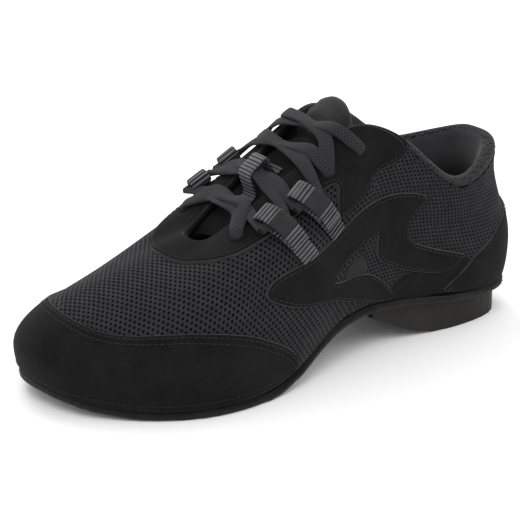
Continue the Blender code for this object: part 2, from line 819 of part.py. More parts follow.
def cord(name, points, lifts, size, split):
    """Flat cord along a curve through points, its flat side facing lifts."""
    centres, at, shares = curve_through(points, split)
    count = len(centres)
    lifts = np.array(lifts)
    lift = unit(np.stack([np.interp(at, shares, lifts[:, k]) for k in range(3)], 1))
    way = unit(np.gradient(centres, axis=0))
    across = unit(np.cross(way, lift))
    lift = unit(np.cross(across, way))
    rings = []
    for angle in np.arange(LACE_SIDES) * 2 * math.pi / LACE_SIDES:
        wide = across * math.cos(angle) * LACE_WIDTH
        thick = lift * math.sin(angle) * LACE_THICKNESS
        rings.append(centres + (wide + thick) * size(at)[:, None] / 2)
    points = np.stack(rings, 1).reshape(-1, 3)
    last = LACE_SIDES * (count - 1)
    faces = [tuple(range(LACE_SIDES - 1, -1, -1)), tuple(range(last, last + LACE_SIDES))]
    for i in range(count - 1):
        for j in range(LACE_SIDES):
            k = (j + 1) % LACE_SIDES
            low, high = LACE_SIDES * i, LACE_SIDES * (i + 1)
            faces.append((low + j, low + k, high + k, high + j))
    return solid(name, points, faces, "lace_cord")


def tongue_crown(row):
    """Top of the tongue in the middle of the throat at one row."""
    arc = tongue_arc(row, 0.0)
    return arc[len(arc) // 2]


def crossing(row):
    """Where two runs of the lace meet over the tongue."""
    edges = [raised(place, EDGE_RISE, LACE_ON_EYESTAY) for place in (row, ROUND - row)]
    taut = (edges[0] + edges[1]) / 2
    rest = tongue_crown(min(row, TONGUE_BACK)) + UP * (LACE_THICKNESS / 2 + LACE_CLEARANCE) * CROWN_LIFT
    return np.array([taut[0], taut[1], max(taut[2], rest[2])])


def lace_run(lateral, medial):
    """Points and lifts from a lateral stop over both edges of the throat to a medial stop."""
    halves = []
    rows = []
    for stop, other, side in ((lateral, medial, -1.0), (medial, lateral, 1.0)):
        turn = np.sign(other.row - stop.row)
        row = (stop.row, stop.edges[1], stop.edges[0])[int(turn)]
        place = row if side < 0 else ROUND - row
        way = stop.ways[1 if turn > 0 else 0]
        points = [*way, raised(place, EDGE_RISE, LACE_ON_EYESTAY)]
        lifts = [stop.turned] * len(way) + [skin_normal(place, EDGE_RISE)]
        halves.append((points, lifts))
        rows.append(row)
    (left, left_lifts), (right, right_lifts) = halves
    return [*left, crossing(sum(rows) / 2), *right[::-1]], [*left_lifts, UP, *right_lifts[::-1]]


def lace():
    """Bar across the front holes, crossings through the loops and the holes behind, joined into one solid."""
    lateral = lace_stops(-1.0)
    medial = lace_stops(1.0)
    pairs = [(lateral[0], medial[0])]
    for i in range(len(lateral) - 1):
        pairs.append((lateral[i], medial[i + 1]))
        pairs.append((lateral[i + 1], medial[i]))
    pieces = [cord("lace_run", *lace_run(*pair), gathered, 2) for pair in pairs]
    for stop in (*lateral, *medial):
        if len(stop.ways[0]) > 1:
            ends = [stop.middle + (way[0] - stop.middle) * THROUGH_REACH for way in stop.ways]
            pieces.append(cord("lace_through", ends, [stop.lift, stop.lift], drawn_through, 2))
    whole = pieces[0]
    whole.name = "lace"
    for piece in pieces[1:]:
        joined = whole.modifiers.new("join", "BOOLEAN")
        joined.operation = "UNION"
        joined.object = piece
        bpy.context.view_layer.update()
        shape = bpy.data.meshes.new_from_object(whole.evaluated_get(bpy.context.evaluated_depsgraph_get()))
        whole.modifiers.clear()
        whole.data = shape
        bpy.data.objects.remove(piece, do_unlink=True)
    return whole


KEEPER_WIDTH = 0.010
KEEPER_ROWS = (3.45, 4.35)
KEEPER_SEAM = 0.0030
KEEPER_FLAT = 0.0045


def tongue_keeper():
    """Webbing bridge sewn to the tongue at both ends, with the lace's crossing under it."""
    front, back = [tongue_crown(row) for row in KEEPER_ROWS]
    way = unit(back - front)
    lift = unit(np.cross(np.cross(way, UP), way))
    sewn = lift * (STRAP_THICKNESS / 2 + JOINT_GAP * 2)
    _, front_loop, back_loop, *_ = lace_stops(-1.0)
    middle = crossing((front_loop.edges[1] + back_loop.edges[0]) / 2)
    over = middle + lift * (LACE_THICKNESS / 2 + LOOP_CLEARANCE + STRAP_THICKNESS / 2)
    path = [front - way * KEEPER_SEAM + sewn, front + sewn, over - way * KEEPER_FLAT, over]
    path += [over + way * KEEPER_FLAT, back + sewn, back + way * KEEPER_SEAM + sewn]
    centres = curve_through(path, 2)[0]
    along = unit(np.gradient(centres, axis=0))
    across = np.tile(unit(np.cross(way, lift)), (len(centres), 1))
    lifts = unit(np.cross(across, along))
    return ribbon("tongue_keeper", centres, across, lifts, KEEPER_WIDTH, STRAP_THICKNESS, "webbing")


def centre_on_ground():
    """Move everything so that the origin is under the middle of the whole shoe, on the ground."""
    shoe = [thing for thing in bpy.data.objects if thing.type == "MESH"]
    corners = np.array([vertex.co for thing in shoe for vertex in thing.data.vertices])
    low, high = corners.min(0), corners.max(0)
    shift = Matrix.Translation((-(low[0] + high[0]) / 2, -(low[1] + high[1]) / 2, -low[2]))
    for thing in shoe:
        thing.data.transform(shift)


upper()
outsole()
insole()
heel()
tongue()
overlays()
straps()
lace()
tongue_keeper()
centre_on_ground()
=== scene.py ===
"""Looks of the low dance sneaker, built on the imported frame. Metres, toe at -X, heel at +X, outside at -Y."""
import math
from collections import namedtuple

import bmesh
import bpy
import numpy as np
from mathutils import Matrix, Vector, geometry


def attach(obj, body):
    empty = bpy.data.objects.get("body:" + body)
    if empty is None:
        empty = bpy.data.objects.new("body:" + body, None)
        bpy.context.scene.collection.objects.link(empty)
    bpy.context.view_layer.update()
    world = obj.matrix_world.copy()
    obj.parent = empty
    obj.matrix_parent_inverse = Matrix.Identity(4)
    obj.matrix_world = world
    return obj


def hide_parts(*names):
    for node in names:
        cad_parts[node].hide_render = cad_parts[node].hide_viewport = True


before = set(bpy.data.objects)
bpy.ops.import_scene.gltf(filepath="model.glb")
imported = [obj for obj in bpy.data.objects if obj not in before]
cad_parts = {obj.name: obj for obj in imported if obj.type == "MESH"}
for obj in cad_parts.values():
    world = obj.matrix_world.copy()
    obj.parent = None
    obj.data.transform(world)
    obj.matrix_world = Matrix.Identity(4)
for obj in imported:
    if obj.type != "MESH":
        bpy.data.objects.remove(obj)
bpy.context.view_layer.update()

# from the middle of the foot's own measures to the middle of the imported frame
SHIFT = np.array([0.000150, 0.003537, 0.0])

# main sizes
LENGTH = 0.242
BALL_WIDTH = 0.094
INSTEP_HEIGHT = 0.104
HEEL_LIFT = 0.0185
JOINT_GAP = 0.0003
INSOLE_GAP = 0.0006
TONGUE_GAP = 0.0010

# thicknesses
OUTSOLE_THICKNESS = 0.0028
OUTSOLE_EDGE = 0.0022
INSOLE_THICKNESS = 0.0035
VAMP_WALL = 0.0022
COLLAR_WALL = 0.0062
TONGUE_THICKNESS = 0.0048
OVERLAY_THICKNESS = 0.0012
OVERLAY_GAP = 0.0006
BELLY_OUT = 0.0042
BELLY_RISE = 0.016
BELLY_SHARE = 0.16
INWARD_BIAS = 0.006

# where the padding of the collar begins and is full, in rows from the toe and in rise
PAD_ROWS = (6.6, 8.6)
PAD_RISE = (0.45, 0.80)

# plan outline of the feather line; columns: at, a share of LENGTH; lateral and medial, shares of BALL_WIDTH
FEATHER = (
    (0.0000, -0.075, 0.075),
    (0.0220, 0.150, 0.240),
    (0.0750, 0.310, 0.345),
    (0.1550, 0.455, 0.420),
    (0.2450, 0.535, 0.460),
    (0.3350, 0.525, 0.455),
    (0.4300, 0.465, 0.390),
    (0.5300, 0.365, 0.300),
    (0.6400, 0.305, 0.265),
    (0.7500, 0.290, 0.285),
    (0.8550, 0.285, 0.290),
    (0.9450, 0.225, 0.225),
    (0.9850, 0.115, 0.115),
    (0.9975, 0.000, 0.000),
)

# underside of the outsole above the ground: at, a share of LENGTH, and up, a share of HEEL_LIFT
BOTTOM = (
    (0.00, 0.40), (0.06, 0.15), (0.13, 0.02), (0.20, 0.00), (0.35, 0.00), (0.42, 0.24), (0.49, 0.66),
    (0.56, 0.95), (0.63, 1.05), (0.72, 0.97), (0.82, 0.80), (0.92, 0.73), (1.00, 0.73),
)

# top line from the front of the throat back round the collar, one row for each row of FEATHER
# columns: at, a share of LENGTH; lateral and medial, of BALL_WIDTH; up on each side, of INSTEP_HEIGHT
TOPLINE = (
    (0.308, 0.000, 0.000, 0.580, 0.580),
    (0.315, 0.070, 0.070, 0.578, 0.578),
    (0.342, 0.108, 0.108, 0.600, 0.600),
    (0.385, 0.128, 0.128, 0.665, 0.665),
    (0.440, 0.142, 0.142, 0.750, 0.755),
    (0.500, 0.155, 0.155, 0.845, 0.855),
    (0.560, 0.170, 0.172, 0.935, 0.950),
    (0.625, 0.195, 0.200, 1.000, 1.010),
    (0.710, 0.275, 0.265, 0.905, 0.925),
    (0.800, 0.320, 0.305, 0.715, 0.775),
    (0.880, 0.285, 0.275, 0.710, 0.755),
    (0.940, 0.195, 0.190, 0.765, 0.780),
    (0.965, 0.102, 0.102, 0.795, 0.798),
    (0.970, 0.000, 0.000, 0.800, 0.800),
)

# cross sections of the upper, one row for each row of FEATHER
# columns: belly out and up, the two handles as shares of the span, and the lean in degrees
SECTION = (
    (0.60, 0.70, 0.20, 0.40, 20.0),
    (0.60, 0.70, 0.20, 0.40, 20.0),
    (0.60, 0.75, 0.20, 0.40, 20.0),
    (0.60, 0.80, 0.22, 0.40, 22.0),
    (0.60, 0.85, 0.27, 0.38, 26.0),
    (0.60, 0.90, 0.32, 0.36, 32.0),
    (0.70, 0.95, 0.36, 0.34, 38.0),
    (0.90, 1.10, 0.37, 0.34, 48.0),
    (1.00, 1.20, 0.36, 0.34, 66.0),
    (0.80, 1.20, 0.34, 0.34, 84.0),
    (0.65, 1.20, 0.34, 0.34, 98.0),
    (0.60, 1.20, 0.34, 0.34, 102.0),
    (0.60, 1.20, 0.34, 0.34, 102.0),
    (0.60, 1.20, 0.34, 0.34, 102.0),
)

HEEL_END = len(FEATHER) - 1
ROUND = 2 * HEEL_END
UP = np.array([0.0, 0.0, 1.0])


def hermite(f, step, near, near_slope, far, far_slope):
    """Smooth way from one value to the next, with the slopes at both."""
    start = (1 + 2 * f) * (1 - f) ** 2 * near + f * (1 - f) ** 2 * step * near_slope
    return start + (f * f * (3 - 2 * f) * far + f * f * (f - 1) * step * far_slope)


def eased_curve(rows):
    """Smooth curve through rows of (place, value) that never swings past them."""
    place, value = np.array(rows, float).T
    step = np.diff(place)
    rate = np.diff(value) / step
    slope = np.zeros(len(place))
    slope[0] = rate[0]
    slope[-1] = rate[-1]
    for i in range(1, len(place) - 1):
        if rate[i - 1] * rate[i] > 0:
            before = 2 * step[i] + step[i - 1]
            after = step[i] + 2 * step[i - 1]
            slope[i] = (before + after) / (before / rate[i - 1] + after / rate[i])

    def at(x):
        x = np.asarray(x, float)
        i = np.clip(np.searchsorted(place, x) - 1, 0, len(place) - 2)
        return hermite((x - place[i]) / step[i], step[i], value[i], slope[i], value[i + 1], slope[i + 1])

    return at


def closed_curve(values):
    """Smooth closed curve through evenly counted values, read by row number."""
    value = np.asarray(values, float)
    count = len(value)
    ring = np.arange(count)
    matrix = np.zeros((count, count))
    matrix[ring, ring] = 4
    matrix[ring, (ring + 1) % count] = 1
    matrix[ring, (ring - 1) % count] = 1
    slope = np.linalg.solve(matrix, 3 * (np.roll(value, -1, 0) - np.roll(value, 1, 0)))

    def at(row):
        row = np.asarray(row, float)
        i = np.floor(row).astype(int)
        near, far = i % count, (i + 1) % count
        return hermite((row - i)[..., None], 1.0, value[near], slope[near], value[far], slope[far])

    return at


def run_along(points):
    """Distance from the first point to each one, along a row of points."""
    return np.concatenate([[0], np.cumsum(np.linalg.norm(np.diff(points, axis=0), axis=1))])


def read_at(at, run, values):
    """Rows of values read at distances along a run."""
    return np.stack([np.interp(at, run, column) for column in values.T], -1)


sole_rise = eased_curve(BOTTOM)


def sole_lift(x):
    """Height of the outsole's underside above the ground at x."""
    return HEEL_LIFT * sole_rise(x / LENGTH + 0.5)


def seat(x):
    """Height at x where the upper and the insole sit on the outsole."""
    return sole_lift(x) + OUTSOLE_THICKNESS + JOINT_GAP


def unit(vectors):
    return vectors / np.maximum(np.linalg.norm(vectors, axis=-1, keepdims=True), 1e-12)


def on_side(row, side):
    """Place round the shoe of a row on one side."""
    return row if side < 0 else ROUND - row


def surface_rows():
    """Curves round the shoe through the cross sections: feather, belly, two handles and top line."""
    index = np.arange(ROUND)
    outer = index <= HEEL_END
    row = np.where(outer, index, ROUND - index)
    at, lateral, medial = np.array(FEATHER)[row].T
    x = (at - 0.5) * LENGTH
    feather = np.stack([x, np.where(outer, -lateral, medial) * BALL_WIDTH, seat(x)], 1)
    along = np.roll(feather, -1, 0) - np.roll(feather, 1, 0)
    out = unit(np.stack([along[:, 1], -along[:, 0], np.zeros(ROUND)], 1))
    at, lateral, medial, up, up_medial = np.array(TOPLINE)[row].T
    y = np.where(outer, -lateral, medial) * BALL_WIDTH
    top = np.stack([(at - 0.5) * LENGTH, y, np.where(outer, up, up_medial) * INSTEP_HEIGHT], 1)
    belly_out, belly_up, rising, arriving, lean = np.array(SECTION)[row].T[..., None]
    belly = feather + out * belly_out * BELLY_OUT + UP * belly_up * BELLY_RISE
    span = np.linalg.norm(top - belly, axis=1, keepdims=True)
    inward = unit((top - belly) * (1, 1, 0) - out * INWARD_BIAS)
    arrival = inward * np.cos(np.radians(lean)) + UP * np.sin(np.radians(lean))
    lower, higher = belly + UP * rising * span, top - arrival * arriving * span
    return [closed_curve(points) for points in (feather, belly, lower, higher, top)]


SURFACE = surface_rows()


def upper_skin(row, rise):
    """Point on the upper's outer face: row goes round the shoe, rise from feather line to top line."""
    row, rise = np.broadcast_arrays(np.asarray(row, float), np.asarray(rise, float))
    feather, belly, lower, higher, top = [curve(row) for curve in SURFACE]
    a = np.clip(rise / BELLY_SHARE, 0, 1)[..., None]
    corner = belly - UP * (belly - feather)[..., 2:3] * 0.6
    below = (1 - a) ** 2 * feather + 2 * a * (1 - a) * corner + a**2 * belly
    b = np.clip((rise - BELLY_SHARE) / (1 - BELLY_SHARE), 0, None)[..., None]
    above = (1 - b) ** 3 * belly + 3 * b * (1 - b) ** 2 * lower + 3 * b**2 * (1 - b) * higher + b**3 * top
    return np.where(rise[..., None] <= BELLY_SHARE, below, above)


def skin_normal(row, rise):
    """Outward direction of the upper's outer face, level at the feather line."""
    row, rise = np.broadcast_arrays(np.asarray(row, float), np.asarray(rise, float))
    step = 0.01
    around = upper_skin(row + step, rise) - upper_skin(row - step, rise)
    low = np.clip(rise - step, 0, None)
    climb = upper_skin(row, rise + step) - upper_skin(row, low)
    normal = np.cross(around, climb)
    level = np.clip(rise / BELLY_SHARE, 0, 1)
    normal[..., 2] *= level * level * (3 - 2 * level)
    return unit(normal)


def raised(row, rise, height):
    """Point a given height off the upper's outer face."""
    return upper_skin(row, rise) + skin_normal(row, rise) * np.asarray(height)[..., None]


def signed_row(row):
    """Place round the shoe as rows from the toe, negative on the medial side."""
    return (np.asarray(row, float) + HEEL_END) % ROUND - HEEL_END


def wall(row, rise):
    """Wall of the upper: thin over the forefoot, padded at the collar."""
    back = np.clip((np.abs(signed_row(row)) - PAD_ROWS[0]) / (PAD_ROWS[1] - PAD_ROWS[0]), 0, 1)
    high = np.clip((np.asarray(rise, float) - PAD_RISE[0]) / (PAD_RISE[1] - PAD_RISE[0]), 0, 1)
    share = back * back * (3 - 2 * back) * high * high * (3 - 2 * high)
    return VAMP_WALL + (COLLAR_WALL - VAMP_WALL) * share


SEAT_RISE = 0.012
EDGE_RISE = 0.985
TOE_CAP_TOP = (
    (-5.75, 0.06), (-5.50, 0.17), (-4.90, 0.27), (-4.10, 0.35), (-3.00, 0.43), (-1.60, 0.47), (0.00, 0.48),
    (1.60, 0.45), (3.00, 0.45), (3.90, 0.39), (4.70, 0.32), (5.40, 0.22), (5.80, 0.12),
)
EYESTAY_LOWER = (
    (8.00, 0.93), (7.80, 0.83), (7.42, 0.73), (7.38, 0.64), (7.15, 0.57), (6.72, 0.53), (6.60, 0.66),
    (6.55, 0.74), (6.15, 0.77), (5.50, 0.75), (4.60, 0.74), (3.75, 0.74), (3.10, 0.77), (2.20, 0.83),
    (1.00, 0.88),
)
FLAME = (
    (4.78, 0.47), (4.95, 0.52), (5.50, 0.51), (6.10, 0.48), (6.60, 0.47), (6.95, 0.49), (7.30, 0.54),
    (7.85, 0.64), (8.60, 0.78), (8.50, 0.66), (8.36, 0.48), (8.48, 0.35), (9.00, 0.30), (9.50, 0.24),
    (9.90, 0.18), (9.50, 0.11), (8.78, 0.12), (8.20, 0.15), (7.83, 0.22), (7.77, 0.32), (7.77, 0.40),
    (7.35, 0.33), (6.68, 0.27), (6.93, 0.22), (7.40, 0.19), (7.90, 0.13), (8.25, 0.06), (8.30, SEAT_RISE),
    (8.00, SEAT_RISE), (7.25, 0.09), (6.33, 0.24), (5.40, 0.37),
)
COUNTER_TOP = (
    (9.60, 0.08), (10.05, 0.15), (10.45, 0.26), (10.95, 0.38), (11.60, 0.45), (12.40, 0.49),
)
# one row and the whole rise of the upper, in metres
ROW_SPAN = 0.012
RISE_SPAN = 0.090
FLAT_SCALE = np.array([ROW_SPAN, RISE_SPAN])


def mirrored(rows, about):
    """Rows copied to the other side of the shoe, in turned order."""
    return [(about - row, rise) for row, rise in reversed(rows)]


def softened(outline, rounds=2):
    """Closed outline with its corners cut back."""
    points = np.array(outline, float)
    for _ in range(rounds):
        after = np.roll(points, -1, 0)
        points = np.stack([points * 0.78 + after * 0.22, points * 0.22 + after * 0.78], 1).reshape(-1, 2)
    return points


def evened(points, spacing):
    """Closed outline read again at even steps, measured on the shoe."""
    loop = np.vstack([points, points[:1]])
    run = run_along(loop * FLAT_SCALE)
    count = max(12, int(run[-1] / spacing))
    return read_at(np.linspace(0, run[-1], count, endpoint=False), run, loop)


# tongue: the rows it runs between, its reach down inside, and how its crown bulges and leans toward the top
TONGUE_FRONT = 2.6
TONGUE_BACK = 6.3
TONGUE_REACH = 0.20
CROWN_FROM = 4.0
CROWN_BULGE = (0.36, 0.50)
CROWN_LEAN = np.array([-0.30, 0.0, 0.05])
TONGUE_ROOT = np.array([-0.010, 0.0, -0.0055])


def tongue_arc(row, depth):
    """Points across the tongue at one row, following the inside of the throat and bridging the slot."""
    down = wall(row, 1.0) + TONGUE_GAP + depth
    rise = np.linspace(1 - TONGUE_REACH, 1.0, 4)
    lateral, medial = [raised(place, rise, -down * np.ones(4)) for place in (row, ROUND - row)]
    start = unit(lateral[-1] - lateral[-2])
    finish = unit(medial[-1] - medial[-2])
    a, d = lateral[-1], medial[-1]
    share = np.clip((row - CROWN_FROM) / (TONGUE_BACK - CROWN_FROM), 0, 1)
    bulge = np.linalg.norm(a - d) * np.interp(share, (0, 1), CROWN_BULGE)
    b, c = a + (start + CROWN_LEAN * share) * bulge, d + (finish + CROWN_LEAN * share) * bulge
    f = np.linspace(0, 1, 7)[1:-1, None]
    bridge = (1 - f) ** 3 * a + 3 * f * (1 - f) ** 2 * b + 3 * f**2 * (1 - f) * c + f**3 * d
    return np.concatenate([lateral, bridge, medial[::-1]])


# webbing loops that carry the lace: name, then row and rise at the side overlay and at the throat
STRAPS = (
    ("front", 5.79, 0.540, 4.42, 0.815),
    ("back", 6.62, 0.520, 5.35, 0.815),
)
STRAP_WIDTH = 0.0095
STRAP_THICKNESS = 0.0010
STRAP_GAP = 0.0009
LOOP_UNDERLAP = 0.011

# how the outer layer of a loop comes down behind the lace; share is of the loop's height
STRAP_DROP = (
    (-0.0050, 1.00),
    (-0.0090, 0.80),
    (-0.0125, 0.38),
    (-0.0160, 0.06),
)
CLIMB_RISE = (0.60, 0.69)
LOOP_CLEARANCE = 0.0005

# lace: row and rise of the plain holes in the eyestay; the two straps lie between the first and the second
HOLES = (
    (3.50, 0.850),
    (6.15, 0.840),
    (7.00, 0.870),
)
LACE_WIDTH = 0.0060
LACE_THICKNESS = 0.0030
LACE_CLEARANCE = 0.0008
CROWN_LIFT = 1.2
LACE_GATHER = 0.66
HOLE_SPREAD = 0.22
LOOP_SPREAD = 0.42
LOOP_PASS = 0.0068
MOUTH_STEP = LACE_THICKNESS * LACE_GATHER / 2 + 0.0008

EYESTAY_TOP = OVERLAY_GAP + OVERLAY_THICKNESS
STRAP_UNDER = EYESTAY_TOP + STRAP_GAP + STRAP_THICKNESS / 2
LACE_ON_EYESTAY = EYESTAY_TOP + LACE_CLEARANCE + LACE_THICKNESS / 2
LOOP_FLOOR = EYESTAY_TOP + STRAP_GAP + STRAP_THICKNESS
LOOP_HEIGHT = LACE_THICKNESS + 2 * LOOP_CLEARANCE + STRAP_THICKNESS
LACE_IN_LOOP = LOOP_FLOOR + LOOP_CLEARANCE + LACE_THICKNESS / 2


class StrapLine:
    """Straight line of a strap over the upper, from the side overlay to the throat."""

    def __init__(self, side, low_row, low_rise, high_row, high_rise):
        self.low = np.array([low_row, low_rise])
        self.high = np.array([high_row, high_rise])
        if side > 0:
            self.low[0] = ROUND - self.low[0]
            self.high[0] = ROUND - self.high[0]
        self.length = np.linalg.norm(upper_skin(*self.high) - upper_skin(*self.low))

    def place(self, back):
        """Row and rise at a distance from the top end, negative toward the sole."""
        share = 1 + np.asarray(back, float) / self.length
        return [self.low[k] + (self.high[k] - self.low[k]) * share for k in (0, 1)]

    def frame(self, back, height):
        """Point, direction up the strap, direction across it and lift off the upper."""
        row, rise = self.place(back)
        ahead = upper_skin(*self.place(np.asarray(back) + 0.001))
        along = unit(ahead - upper_skin(row, rise))
        lift = skin_normal(row, rise)
        return raised(row, rise, height), along, unit(np.cross(along, lift)), lift


def strap_lines(side):
    return [(label, StrapLine(side, *places)) for label, *places in STRAPS]


# place the lace passes on one side; forward leads to a loop's mouth at the toe's side, and is nil at a hole
Stop = namedtuple("Stop", "row middle forward spread lift")


def plain_stop(row, rise, side):
    place = on_side(row, side)
    return Stop(row, raised(place, rise, LACE_ON_EYESTAY), np.zeros(3), HOLE_SPREAD, skin_normal(place, rise))


def loop_stop(line, side):
    centre, _, across, lift = line.frame(-LACE_WIDTH / 2 - LOOP_CLEARANCE, LACE_IN_LOOP)
    forward = across * np.sign(-across[0]) * (STRAP_WIDTH / 2 + MOUTH_STEP)
    return Stop(on_side(float(line.place(LOOP_PASS)[0]), side), centre, forward, LOOP_SPREAD, lift)


def lace_stops(side):
    """Stops of one side from toe to heel."""
    front, *behind = [plain_stop(row, rise, side) for row, rise in HOLES]
    return [front, *[loop_stop(line, side) for _, line in strap_lines(side)], *behind]


def tongue_crown(row):
    """Top of the tongue in the middle of the throat at one row."""
    arc = tongue_arc(row, 0.0)
    return arc[len(arc) // 2]


def crossing(row):
    """Where two runs of the lace meet over the tongue."""
    edges = [raised(place, EDGE_RISE, LACE_ON_EYESTAY) for place in (row, ROUND - row)]
    taut = (edges[0] + edges[1]) / 2
    rest = tongue_crown(min(row, TONGUE_BACK)) + UP * (LACE_THICKNESS / 2 + LACE_CLEARANCE) * CROWN_LIFT
    return np.array([taut[0], taut[1], max(taut[2], rest[2])])


KEEPER_WIDTH = 0.010
KEEPER_ROWS = (3.45, 4.35)
KEEPER_SEAM = 0.0030
KEEPER_FLAT = 0.0045
KEEPER_ROOM = 0.0006
# where part of the upper is pushed in or out: ends as row and rise, then width and depth
CREASES = (
    (3.35, 0.60, 4.05, 0.70, 0.0042, -0.0007),
    (3.70, 0.50, 4.60, 0.66, 0.0036, -0.0006),
    (4.35, 0.34, 4.80, 0.47, 0.0046, -0.0007),
    (5.05, 0.24, 5.40, 0.34, 0.0050, 0.0005),
    (2.20, 0.60, 3.00, 0.70, 0.0060, 0.0005),
    (-3.40, 0.60, -4.20, 0.72, 0.0042, -0.0007),
    (-3.90, 0.46, -4.70, 0.62, 0.0040, -0.0008),
    (-4.50, 0.30, -5.00, 0.45, 0.0050, -0.0007),
    (8.60, 0.50, 9.80, 0.62, 0.0070, -0.0008),
    (8.90, 0.80, 9.80, 0.90, 0.0050, -0.0005),
    (-8.60, 0.50, -9.80, 0.60, 0.0070, -0.0008),
    (9.70, 0.30, 10.80, 0.62, 0.0080, 0.0006),
    (6.20, 0.10, 7.00, 0.02, 0.0050, -0.0006),
    (0.60, 0.56, 1.80, 0.62, 0.0060, -0.0005),
    (-0.70, 0.60, -2.00, 0.64, 0.0060, -0.0005),
)


def crease(row, rise):
    """Height of the listed troughs and ridges at a place on the upper."""
    x = signed_row(row) * ROW_SPAN
    y = np.asarray(rise, float) * RISE_SPAN
    total = np.zeros(np.broadcast(x, y).shape)
    for row_a, rise_a, row_b, rise_b, width, depth in CREASES:
        a = np.array([row_a, rise_a]) * FLAT_SCALE
        way = np.array([row_b, rise_b]) * FLAT_SCALE - a
        share = np.clip(((x - a[0]) * way[0] + (y - a[1]) * way[1]) / (way @ way), 0, 1)
        gap = np.hypot(x - a[0] - way[0] * share, y - a[1] - way[1] * share)
        taper = 0.35 + 0.65 * np.sin(np.pi * np.clip(share, 0.05, 0.95))
        total += depth * taper * np.exp(-((gap / width) ** 2) * 2)
    return total


def skin(row, rise, height=0.0):
    """Point on or off the dressed upper, creases included, in the frame of the whole shoe."""
    lift = crease(row, rise) + np.asarray(height, float)
    return upper_skin(row, rise) + SHIFT + skin_normal(row, rise) * lift[..., None]


def wire(target, sockets):
    """Fills a node's sockets: a plain value stays on the socket, another node's output is linked."""
    for key, value in sockets.items():
        if isinstance(value, bpy.types.NodeSocket):
            target.id_data.links.new(value, target.inputs[key])
        else:
            target.inputs[key].default_value = value


def add(tree, kind, sockets, **settings):
    """New node of a material with its own settings and sockets."""
    made = tree.nodes.new("ShaderNode" + kind)
    for key, value in settings.items():
        setattr(made, key, value)
    wire(made, sockets)
    return made


def new_material(name):
    """Material with its tree and its main shader."""
    made = bpy.data.materials.new(name)
    made.use_nodes = True
    return made, made.node_tree, made.node_tree.nodes["Principled BSDF"]


def colour_ramp(tree, source, places, colours):
    ramp = add(tree, "ValToRGB", {"Fac": source})
    for stop, place, colour in zip(ramp.color_ramp.elements, places, colours):
        stop.position = place
        stop.color = (*colour, 1.0)
    return ramp


# mottles per grain, how far each colours the cloth, and the blend's range between the two colours
MOTTLE_SCALE = 0.06
MOTTLE_SHARE, GRAIN_SHARE = 0.55, 0.45
BLEND_RANGE = (0.34, 0.68)
GRAIN_DEPTH = 0.0004


def surface_material(name, base, other, roughness, scale, bump, sheen=0.0, fine=0.0, specular=0.10):
    """Cloth, suede or rubber: mottled colour, grainy bump and a little sheen."""
    made, tree, shader = new_material(name)
    where = add(tree, "TexCoord", {}).outputs["Object"]
    mottle = {"Vector": where, "Scale": scale * MOTTLE_SCALE, "Detail": 4.0}
    broad = add(tree, "TexNoise", mottle).outputs["Fac"]
    grain = add(tree, "TexNoise", {"Vector": where, "Scale": scale, "Detail": 5.0}).outputs["Fac"]
    half = add(tree, "Math", {0: grain, 1: GRAIN_SHARE}, operation="MULTIPLY").outputs[0]
    blend = add(tree, "Math", {0: broad, 1: MOTTLE_SHARE, 2: half}, operation="MULTIPLY_ADD").outputs[0]
    ramp = colour_ramp(tree, blend, BLEND_RANGE, (base, other))
    nap = add(tree, "Bump", {"Strength": bump, "Distance": GRAIN_DEPTH, "Height": grain})
    wire(shader, {
        "Roughness": roughness,
        "Specular IOR Level": specular,
        "Sheen Weight": sheen,
        "Sheen Roughness": 0.5,
        "Base Color": ramp.outputs["Color"],
        "Normal": nap.outputs["Normal"],
    })
    if fine:
        ends = {"Value": broad, "To Min": roughness - fine, "To Max": min(1.0, roughness + fine)}
        wire(shader, {"Roughness": add(tree, "MapRange", ends).outputs["Result"]})
    return made


def braid_material(name, base, other, roughness, along, around, bump, sheen):
    """Woven cord: two slanting sets of threads over the piece's own length and width."""
    made = surface_material(name, base, other, roughness, 900.0, 0.0, sheen)
    tree = made.node_tree
    flat = add(tree, "UVMap", {}, uv_map="run").outputs["UV"]
    heights = []
    for sign in (1, -1):
        turn = {"Vector": flat, "Rotation": (0.0, 0.0, sign * math.pi / 4), "Scale": (along, around, 1.0)}
        turned = add(tree, "Mapping", turn).outputs["Vector"]
        wave = add(tree, "TexWave", {"Vector": turned, "Scale": 1.0, "Distortion": 0.6, "Detail": 1.0})
        heights.append(wave.outputs["Fac"])
    joined = add(tree, "Math", dict(enumerate(heights)), operation="MAXIMUM").outputs[0]
    weave = add(tree, "Bump", {"Strength": bump, "Distance": 0.0003, "Height": joined})
    wire(tree.nodes["Principled BSDF"], {"Normal": weave.outputs["Normal"]})
    # the colour follows the weave's height: painted shade in its hollows, lighter on the raised threads
    ramp = tree.nodes["Color Ramp"]
    ramp.color_ramp.elements[0].position = 0.25
    ramp.color_ramp.elements[1].position = 0.85
    wire(ramp, {"Fac": joined})
    return made


def holed_material(name, base, other, roughness, pitch, hole):
    """Knitted cloth whose small holes are only spots of painted shade and bumped hollows."""
    made = surface_material(name, base, other, roughness, 2600, 0.4, 0.1)
    tree = made.node_tree
    where = tree.nodes["Texture Coordinate"].outputs["Object"]
    cells = add(tree, "TexVoronoi", {"Vector": where, "Scale": 1.0 / pitch, "Randomness": 0.35})
    limits = {"Value": cells.outputs["Distance"], "From Min": hole, "From Max": hole + 0.15}
    thread = add(tree, "MapRange", limits).outputs["Result"]
    cloth = tree.nodes["Color Ramp"].outputs["Color"]
    # the holes take a near-black colour: painted shade in the hollows of the knit
    dark = (0.0015, 0.0015, 0.0017, 1.0)
    shaded_holes = add(tree, "Mix", {"Factor": thread, "A": dark, "B": cloth}, data_type="RGBA")
    hollow = add(tree, "Bump", {"Strength": 0.8, "Distance": 0.0004, "Height": thread})
    wire(tree.nodes["Principled BSDF"], {
        "Base Color": shaded_holes.outputs["Result"],
        "Normal": hollow.outputs["Normal"],
    })
    return made


